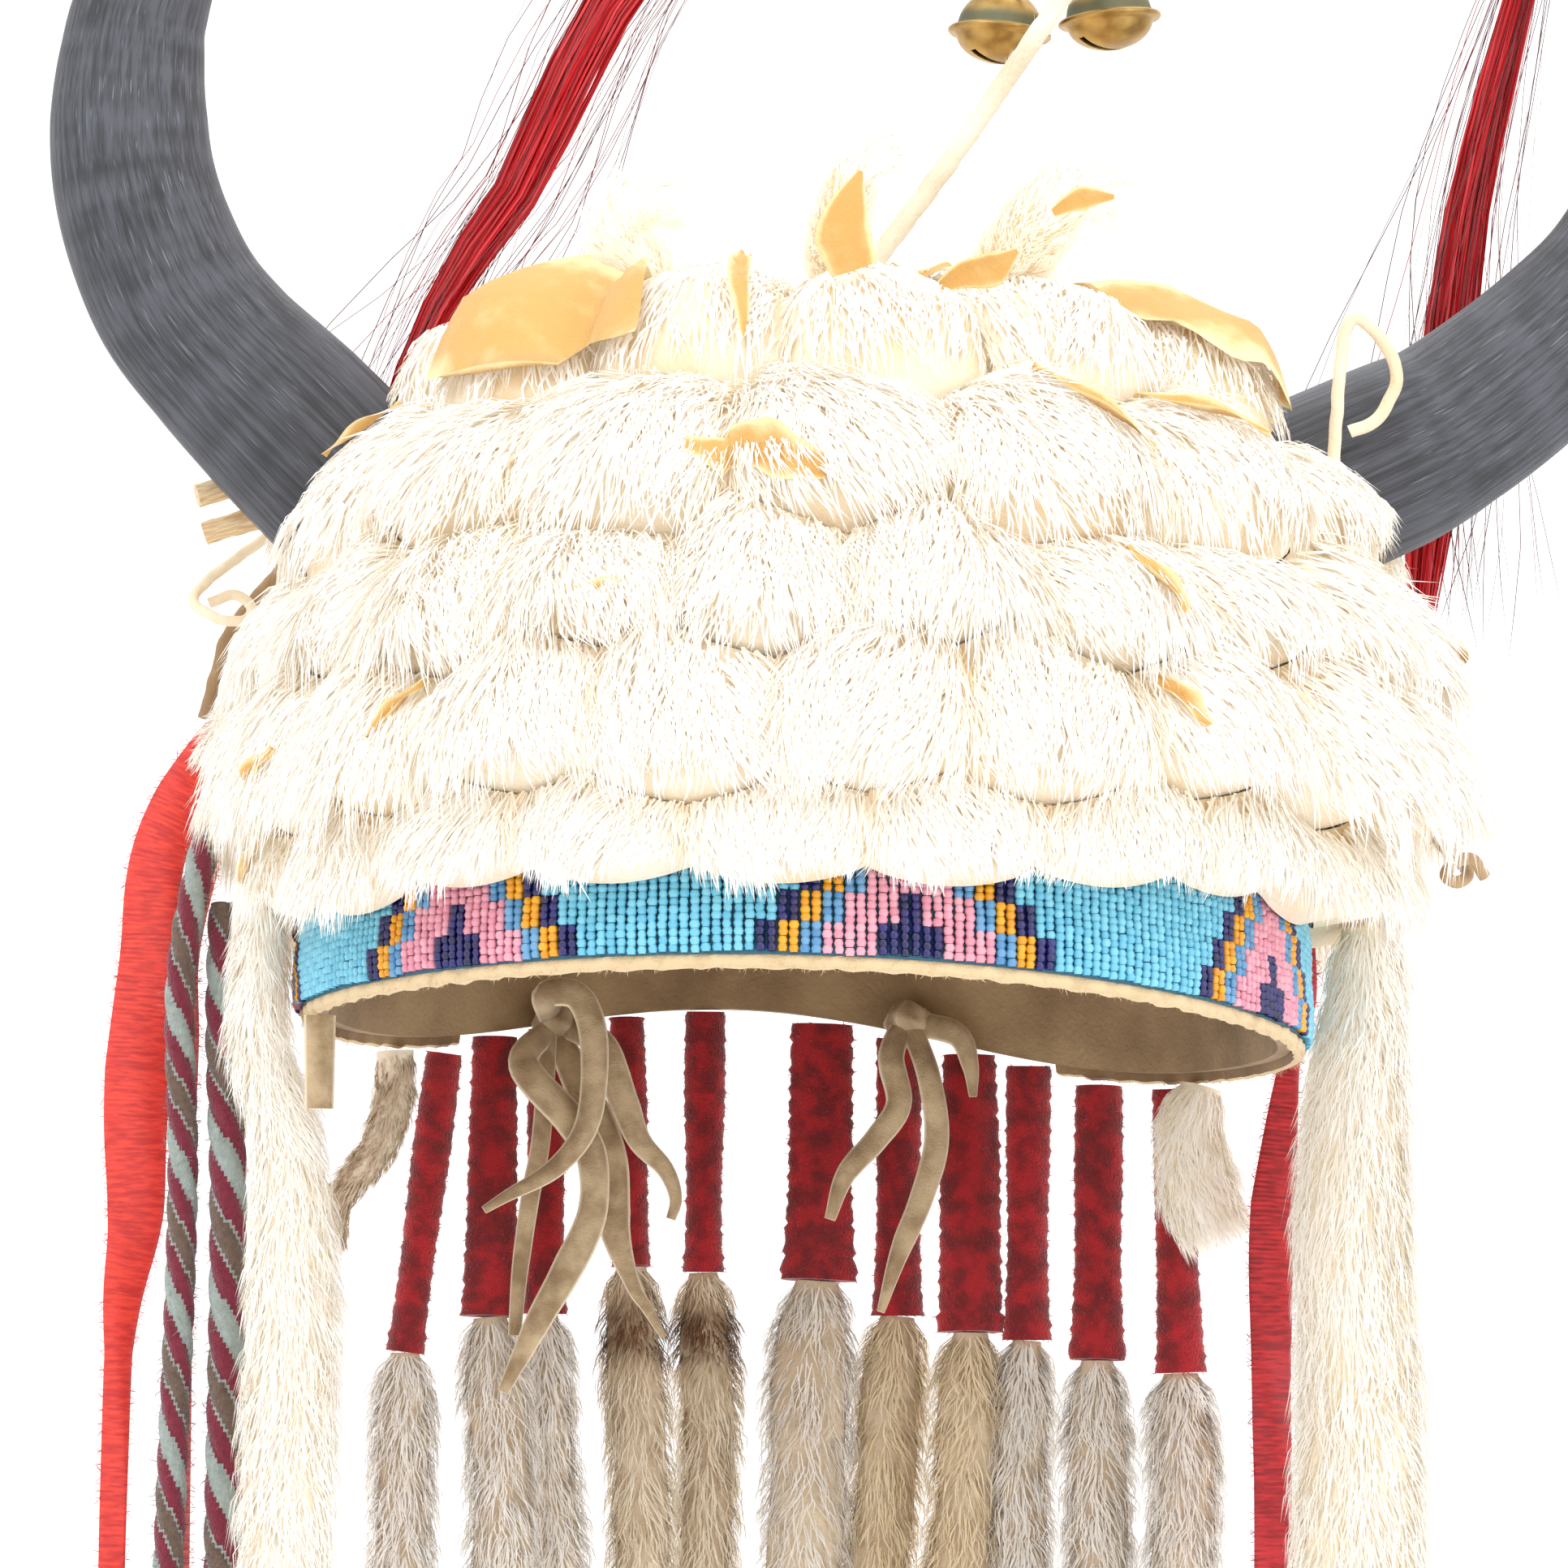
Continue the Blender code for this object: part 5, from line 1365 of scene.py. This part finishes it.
class HEADDRESS_OT_furs(bpy.types.Operator):
    """Grows the curls on the crown, the long drops and the small furs at the rim"""

    bl_idname = "headdress.furs"
    bl_label = "Curls and drops"

    def execute(self, context):
        white = fur_finish("drop_fur", shade(249, 247, 243), shade(242, 234, 218),
                           shade(218, 194, 154), 0.10)
        # curl_fur has the most painted glow, to lift the shade on the curls' undersides.
        curled = fur_finish("curl_fur", shade(252, 250, 247), shade(248, 240, 228),
                            shade(228, 200, 156), 0.24)
        aged = fur_finish("aged_fur", shade(226, 208, 182), shade(196, 166, 130),
                          shade(126, 86, 56))
        skin = hide_finish("drop_skin", shade(250, 240, 220), shade(234, 212, 172))
        ochre = hide_finish("curl_hide", shade(244, 218, 160), shade(214, 164, 92), 700.0)
        for number, (name, row) in enumerate(FURS.items()):
            points, wide, deep, blades, long, kind = row
            rng = np.random.default_rng(80 + number)
            route = curve(np.array(points) * MM, 10)
            route = even(route, max(16, int(length_of(route) / 0.0025)))
            body = Body()
            blades = int(blades * context.scene.headdress_hair.density)
            fur_on_sweep(body, rng, route, np.array(wide) * MM, np.array(deep) * MM, blades,
                         long, 0.85, 1, 0, lift=0.35, wild=0.3, droop=0.1)
            for leaf, half, way in LEAVES.get(name, ()):
                body.strip(course(leaf, 8, 20), np.array(half) * MM, 0.0005, 2, way, 0.25, 9)
            coat = (white, aged, curled)[kind]
            body.build(name, [coat, skin, ochre])
        rng = np.random.default_rng(90)
        body = Body()
        for points, count, half, blades, long, tone, finish, lift, wild in YARN_TUFT:
            half = np.array(half) * MM
            fur_on_sweep(body, rng, course(points, 4, count), half, half, blades, long, tone,
                         finish, finish, lift=lift, wild=wild)
        grey = fur_finish("yarn_tuft", shade(196, 200, 196), shade(130, 140, 136),
                          shade(76, 86, 84))
        body.build("yarn_tuft", [grey, white])
        return {"FINISHED"}


# The drops of the back rim: top, end of the wrap and end of the tail in millimetres, half width
# of the wrap, half width of the tail, and the tail's colour: 0 white, 1 warm, 2 marked.
DROPS = {
    "01": ((-61.0, 75.5, 4.0), (-68.0, 79.2, -53.2), (-69.1, 79.2, -111.0), 3.68, 5.4, 0),
    "02": ((-50.8, 82.0, 7.7), (-51.8, 78.3, -46.3), (-49.1, 78.3, -107.6), 4.73, 6.2, 0),
    "03": ((-40.1, 89.2, 10.0), (-40.1, 92.9, -45.0), (-35.8, 92.9, -108.8), 3.68, 4.9, 0),
    "04": ((-24.0, 96.3, 12.9), (-23.4, 92.6, -35.7), (-20.2, 92.6, -112.1), 3.68, 5.8, 2),
    "05": ((-8.3, 99.6, 14.6), (-8.3, 103.3, -36.1), (-8.3, 103.3, -108.8), 3.99, 5.5, 2),
    "06": ((14.8, 98.7, 12.1), (13.2, 95.0, -38.1), (10.5, 95.0, -113.2), 6.56, 8.2, 0),
    "07": ((29.3, 94.5, 9.3), (29.3, 98.2, -44.7), (23.9, 98.2, -109.9), 4.62, 6.5, 1),
    "08": ((42.0, 88.2, 5.5), (42.0, 84.5, -48.5), (37.7, 84.5, -111.0), 5.88, 6.5, 1),
    "09": ((52.9, 80.5, 2.9), (52.9, 84.2, -50.0), (51.8, 84.2, -107.6), 4.41, 5.4, 0),
    "10": ((65.3, 70.9, -1.7), (64.2, 67.2, -54.6), (64.2, 67.2, -112.1), 4.73, 6.1, 0),
    "11": ((76.9, 54.0, -3.4), (79.0, 57.7, -57.4), (78.0, 57.7, -108.8), 4.1, 6.5, 0),
}
WRAP_HALF_DEPTH = 0.0023
TAIL_HALF_DEPTH = 0.0032
TAIL_BLADES = 3000


class HEADDRESS_OT_drops(bpy.types.Operator):
    """Wraps the red wool and hangs the ermine tails below it"""

    bl_idname = "headdress.drops"
    bl_label = "Wraps and tails"

    def execute(self, context):
        wool = Finish("red_wool", rough=0.95, sheen=0.5)
        tone = wool.tone()
        blotch = wool.noise(240.0, 3.0)
        deep = wool.mix(wool.between(blotch, 0.35, 0.65), shade(120, 2, 12), shade(176, 8, 24))
        # Lighter red where the tone is high, on the wraps' side edges: painted sheen of the fuzzy
        # wool.
        wool.colour(wool.mix(wool.between(tone, 0.55, 0.95), deep, shade(214, 38, 46)))
        wool.bump(wool.noise(2600.0, 2.0) + blotch * 0.5, 0.0006, 0.8)
        coats = (
            fur_finish("tail_white", shade(250, 245, 238), shade(234, 222, 206), shade(196, 176, 150)),
            fur_finish("tail_warm", shade(246, 230, 198), shade(228, 200, 156), shade(186, 150, 108)),
            fur_finish("tail_marked", shade(244, 232, 210), shade(222, 200, 168), shade(120, 80, 50)),
        )
        skin = hide_finish("tail_skin", shade(216, 198, 172), shade(170, 140, 106))
        for number, (name, row) in enumerate(DROPS.items()):
            top, bottom, end, half, tail, coat = row
            rng = np.random.default_rng(100 + number)
            top, bottom, end = (np.array(p) * MM for p in (top, bottom, end))
            route = even(np.array([top, bottom]), 56)
            phase = rng.random(6) * 6
            lobes = 3 if half > 5.5 else 2

            def felt(angle, share):
                edge = np.abs(np.cos(angle)) ** 3
                jag = np.sin(90 * share + phase[0]) * 0.5 + np.sin(151 * share + phase[1]) * 0.5
                fold = 0.05 * np.cos(lobes * angle + 2 * share + phase[2])
                flare = 0.05 * np.sin(5 * share + phase[3]) + 0.06 * (share > 0.93)
                return 1 + 0.07 * jag * edge + fold + flare

            body = Body()
            flat = [WRAP_HALF_DEPTH] * 2
            # The tone rises towards the wrap's side edges, for the painted sheen.
            body.sweep(route, [half * MM * s for s in (0.92, 1.0, 0.95, 1.04)], flat, WRAP_SIDES, 0,
                       lambda angle, share: 0.3 + 0.5 * np.abs(np.cos(angle)) ** 10, felt)
            _, roots, out = body.fuzz_roots(rng, route, WRAP_SIDES, 1500)
            flow = unit(rng.normal(size=(len(roots), 3)) * 0.7 + DOWN * 0.5)
            body.hairs(rng, roots - out * 0.0002, flow, out, 0.0013, 0.00012, 0,
                       0.35 + 0.5 * rng.random(len(roots)), lift=0.9, wild=0.7)
            body.build(f"wrap_{name}", [wool])

            start = bottom - (0, 0, 0.0002)
            bow = np.array((0.0012 * math.sin(number * 2.1), 0.0, 0.0))
            middle = start * 0.55 + end * 0.45 + bow
            route = even(curve([start, start * 0.8 + end * 0.2 + bow * 0.5, middle, end], 8), 26)
            body = Body()
            wide = np.array((0.62, 1.0, 1.12, 1.1, 1.05, 1.12, 1.08, 1.0, 0.6)) * tail * MM
            depth = np.array((0.6, 0.9, 1.0, 1.0, 1.0, 1.0, 0.8, 0.5)) * TAIL_HALF_DEPTH
            blades = int(TAIL_BLADES * context.scene.headdress_hair.density)
            fur_on_sweep(body, rng, route, wide, depth, blades, 7.5, 0.8, 1, 0, 0.82,
                         lift=0.5, wild=0.34, droop=0.2)
            if coat == 2:
                high = body.points[-1][:, 2]
                mark = np.exp(-(((high - start[2] + 0.013) / 0.007) ** 2))
                body.tones[-1] = (body.tones[-1] - 0.8 * mark).clip(0, 1)
            body.build(f"tail_{name}", [coats[coat], skin])
        return {"FINISHED"}


# Ribbons: points in millimetres, widths as shares of the full width, light and dark colour.
RIBBON_STEPS = 150
RIBBONS = {
    "ribbon_left": (
        ((-99.3, 34.9, 71.1), (-116.3, 32.9, 41.1), (-119.3, 31.9, 15.1), (-121.3, 30.9, -10.9),
         (-121.3, 30.9, -30.9), (-123.8, 30.9, -48.9), (-124.8, 30.9, -78.9), (-125.3, 30.9, -108.9)),
        (0.5, 0.95, 1.0, 1.2, 1.0, 0.5, 0.48, 0.46),
        (236, 62, 44), (196, 34, 30),
    ),
    "ribbon_salmon": (
        ((-105.2, 36.8, 43.7), (-111.2, 30.8, 19.7), (-111.7, 27.8, 1.7), (-112.7, 26.3, -22.3),
         (-112.7, 26.3, -50.3), (-112.9, 26.3, -108.3)),
        (0.25, 0.38, 0.38, 0.38),
        (226, 112, 104), (186, 66, 70),
    ),
    "ribbon_right": (
        ((100.3, 34.1, 24.0), (100.1, 33.7, 11.9), (96.1, 31.7, -0.1), (92.6, 30.7, -30.1),
         (92.1, 30.7, -56.1), (92.6, 30.7, -104.1)),
        (0.23, 0.38, 0.84, 0.76, 0.69, 0.76),
        (206, 34, 44), (150, 14, 28),
    ),
}


class HEADDRESS_OT_ribbons(bpy.types.Operator):
    """Hangs the ribbed ribbons with their frayed edges"""

    bl_idname = "headdress.ribbons"
    bl_label = "Ribbons"

    def execute(self, context):
        for number, (name, (points, shares, light, dark)) in enumerate(RIBBONS.items()):
            rng = np.random.default_rng(120 + number)
            route = curve(np.array(points) * MM, 10)
            route = even(route, RIBBON_STEPS)
            half = np.array(shares) * RIBBON_HALF
            body = Body()
            phase = rng.random(3) * 6

            def wave(u, share):
                fold = np.sin(9 * share + phase[0]) * u + 0.6 * np.sin(23 * share + 2 * u + phase[1])
                return 0.0005 * fold * np.minimum(1, 6 * share)

            body.strip(route, half, 0.0004, 0, None, 0.12, 11, wave)
            satin = Finish(name, rough=0.5, sheen=0.3)
            ribs = satin.add("ShaderNodeSeparateXYZ", (satin.grain(0.0, 7.0),), 1).wave()
            slub = satin.noise(0.5, 2.0, satin.grain(0.6, 3.0))
            satin.colour(satin.mix(satin.between(slub, 0.3, 0.7), shade(*dark), shade(*light)))
            satin.bump(ribs * 0.5 + slub * 0.5, 0.0003, 0.5)
            size = 420
            at = rng.integers(4, 146, size)
            sign = rng.choice((-1.0, 1.0), size)[:, None]
            along, side, out = directions(route)
            wide = shares_at(half, RIBBON_STEPS)[at][:, None]
            lines = route[at] + side[at] * sign * wide * 0.96
            ends = lines + side[at] * sign * 0.0012 + along[at] * 0.0009 * rng.normal(size=(size, 1))
            both = np.stack((lines, (lines + ends) / 2 + out[at] * 0.0002, ends), axis=1)
            body.strands(both, 0.00012, 0, 0.9)
            made = body.build(name, [satin])
        return {"FINISHED"}


# The hide ties below the back rim: the knot, then each tie's points from it in millimetres and its
# widths as shares of a tie's width.
TIES = {
    "tie_thongs_left": (
        (-38.9, 81.9, 10.8),
        (
            (((-1, -1.5, -1), (-7, -10, -9), (2, -12, -20), (6, -12, -27), (6, -12, -38),
              (1, -12, -49), (-4, -12, -58), (-11, -12, -72)), (0.7, 1.0, 1.05, 0.9, 1.0, 0.8, 0.35)),
            (((-1, -2, 0.5), (-3, -15, 4), (3, -16, 3.5), (6, -16, -5), (5, -16, -20),
              (-1, -16, -29), (-11, -16, -35), (-15, -16, -37.5)), (0.8, 0.9, 0.9, 0.8, 0.6, 0.25)),
            (((1.5, -1.5, -0.5), (8, -8, -5), (12.5, -8, -16), (15.5, -8, -23.5),
              (20.5, -8, -29), (22.5, -8, -34.5), (21.5, -8, -38.5)), (0.8, 1.0, 0.9, 0.6, 0.3)),
            (((-0.5, -1, -1.5), (6, -4.5, -16), (10, -4.5, -27), (11, -4.5, -40),
              (14.5, -4.5, -51), (17, -4.5, -55), (20.5, -4.5, -61)), (0.8, 1.1, 1.15, 1.1, 0.5, 0.2)),
            (((-1.5, -2, -1.2), (-3.5, -8.4, -23), (-5.5, -8.4, -34), (-7.5, -8.4, -48.5),
              (-8.5, -8.4, -61)), (0.5, 0.6, 0.6, 0.55, 0.4)),
        ),
    ),
    "tie_thongs_right": (
        (30.1, 86.6, 11.9),
        (
            (((-1, -1.5, -0.5), (-4, -6, -7.5), (-2.5, -6, -16.5), (-7, -6, -23.5),
              (-13, -6, -30.5), (-16, -6, -39)), (0.75, 0.85, 0.8, 0.7, 0.35)),
            (((0.3, -2, -0.8), (3, -9, -11.5), (4.5, -9, -23.5), (1.5, -9, -35), (-3, -9, -46),
              (-6.5, -9, -57)), (0.7, 0.75, 0.8, 0.7, 0.25)),
            (((1.5, -1, -0.3), (9, -5.5, -3), (11.5, -5.5, -9), (12, -5.5, -15)),
             (0.8, 0.8, 0.6, 0.25)),
        ),
    ),
}


class HEADDRESS_OT_ties(bpy.types.Operator):
    """Cuts the flat suede ties, their knots and the small hide pieces"""

    bl_idname = "headdress.ties"
    bl_label = "Ties and hide"

    def execute(self, context):
        suede = Finish("suede", rough=0.95, sheen=0.25)
        blotch = suede.noise(160.0, 4.0)
        nap = suede.noise(2400.0, 2.0)
        base = suede.mix(suede.between(blotch, 0.3, 0.7), shade(150, 124, 90), shade(202, 178, 142))
        suede.colour(suede.mix(suede.between(suede.tone(), 0.3, 0.9), base, shade(234, 216, 184)))
        suede.bump(nap + blotch, 0.0005, 0.6)
        for name, (knot, ties) in TIES.items():
            knot = np.array(knot) * MM
            body = Body()
            roll = np.array((0.1, 0.62, 0.92, 1.0, 0.92, 0.62, 0.1)) * 0.0048
            middle = even(np.array([knot + (0, 0, 0.0042), knot - (0, 0, 0.0042)]), 14)
            body.sweep(middle, roll, roll, 20, 0, lambda a, s: 0.3 + 0.4 * np.cos(3 * a) ** 4,
                       lambda a, s: 1 + 0.08 * np.sin(3 * a + 12 * s))
            body.build(name, [suede], f"{name}_knot")
            for place, (points, shares) in enumerate(ties):
                route = curve(knot + np.array(points) * MM, 10)
                long = length_of(route)
                route = even(route, max(24, int(long / 0.0011)))
                half = np.array(shares) * TIE_HALF
                body = Body()
                body.strip(route, half, TIE_THICK, 0, None, 0.35, 9)
                made = body.build(name, [suede], f"{name}_{place + 1}")
        body = Body()
        route = even(np.array(((-89.5, -14.3, 3.3), (-89.5, -14.3, -13.7))) * MM, 24)
        body.strip(route, [0.0029, 0.0026], 0.0014, 0, None, 0.2, 9)
        body.build("hide_flap", [suede])

        raw = Finish("rawhide", rough=0.5, coat=0.1)
        fibre = raw.noise(1.2, 4.0, raw.grain(1.2, 0.2))
        raw.colour(raw.mix(raw.between(fibre, 0.3, 0.7), shade(206, 170, 122), shade(244, 220, 178)))
        raw.bump(fibre, 0.0006, 0.6)
        pegs = {
            "horn_peg_upper": ((-88.7, 10.1, 108.5), (-111.7, 8.1, 101.5)),
            "horn_peg_lower": ((-97.1, 11.1, 99.2), (-110.1, 13.1, 95.2)),
        }
        for name, ends in pegs.items():
            route = even(np.array(ends) * MM, 30)
            body = Body()
            body.sweep(route, [0.0021, 0.0022, 0.0019, 0.0021], [0.0022] * 3, 16, 0, None,
                       lambda a, s: 1 + 0.09 * np.sin(2 * a + 3 * s) + 0.04 * np.sin(7 * a + 20 * s))
            body.build(name, [raw])
        return {"FINISHED"}


PIECES = (
    HEADDRESS_OT_stage,
    HEADDRESS_OT_cords,
    HEADDRESS_OT_cap,
    HEADDRESS_OT_beads,
    HEADDRESS_OT_fur,
    HEADDRESS_OT_horns,
    HEADDRESS_OT_plumes,
    HEADDRESS_OT_rod,
    HEADDRESS_OT_furs,
    HEADDRESS_OT_drops,
    HEADDRESS_OT_ribbons,
    HEADDRESS_OT_ties,
)
GROUPS = {
    "headdress_hair": HairSettings,
    "headdress_beads": BeadSettings,
    "headdress_stage": StageSettings,
}


class HEADDRESS_PT_panel(bpy.types.Panel):
    """Lists the pieces in the sidebar"""

    bl_label = "Headdress"
    bl_idname = "HEADDRESS_PT_panel"
    bl_space_type = "VIEW_3D"
    bl_region_type = "UI"
    bl_category = "Headdress"

    def draw(self, context):
        for group, kind in GROUPS.items():
            for name in kind.__annotations__:
                self.layout.prop(getattr(context.scene, group), name)
        for operator in PIECES:
            self.layout.operator(operator.bl_idname)


def register():
    for kind in (*GROUPS.values(), *PIECES, HEADDRESS_PT_panel):
        bpy.utils.register_class(kind)
    for group, kind in GROUPS.items():
        setattr(bpy.types.Scene, group, bpy.props.PointerProperty(type=kind))


def unregister():
    for group in GROUPS:
        delattr(bpy.types.Scene, group)
    for kind in reversed((*GROUPS.values(), *PIECES, HEADDRESS_PT_panel)):
        bpy.utils.unregister_class(kind)


def main():
    register()
    bpy.ops.headdress.stage()
    bpy.ops.headdress.cords()
    bpy.ops.headdress.cap()
    bpy.ops.headdress.beads()
    bpy.ops.headdress.fur()
    bpy.ops.headdress.horns()
    bpy.ops.headdress.plumes()
    bpy.ops.headdress.rod()
    bpy.ops.headdress.furs()
    bpy.ops.headdress.drops()
    bpy.ops.headdress.ribbons()
    bpy.ops.headdress.ties()


if __name__ == "__main__":
    main()
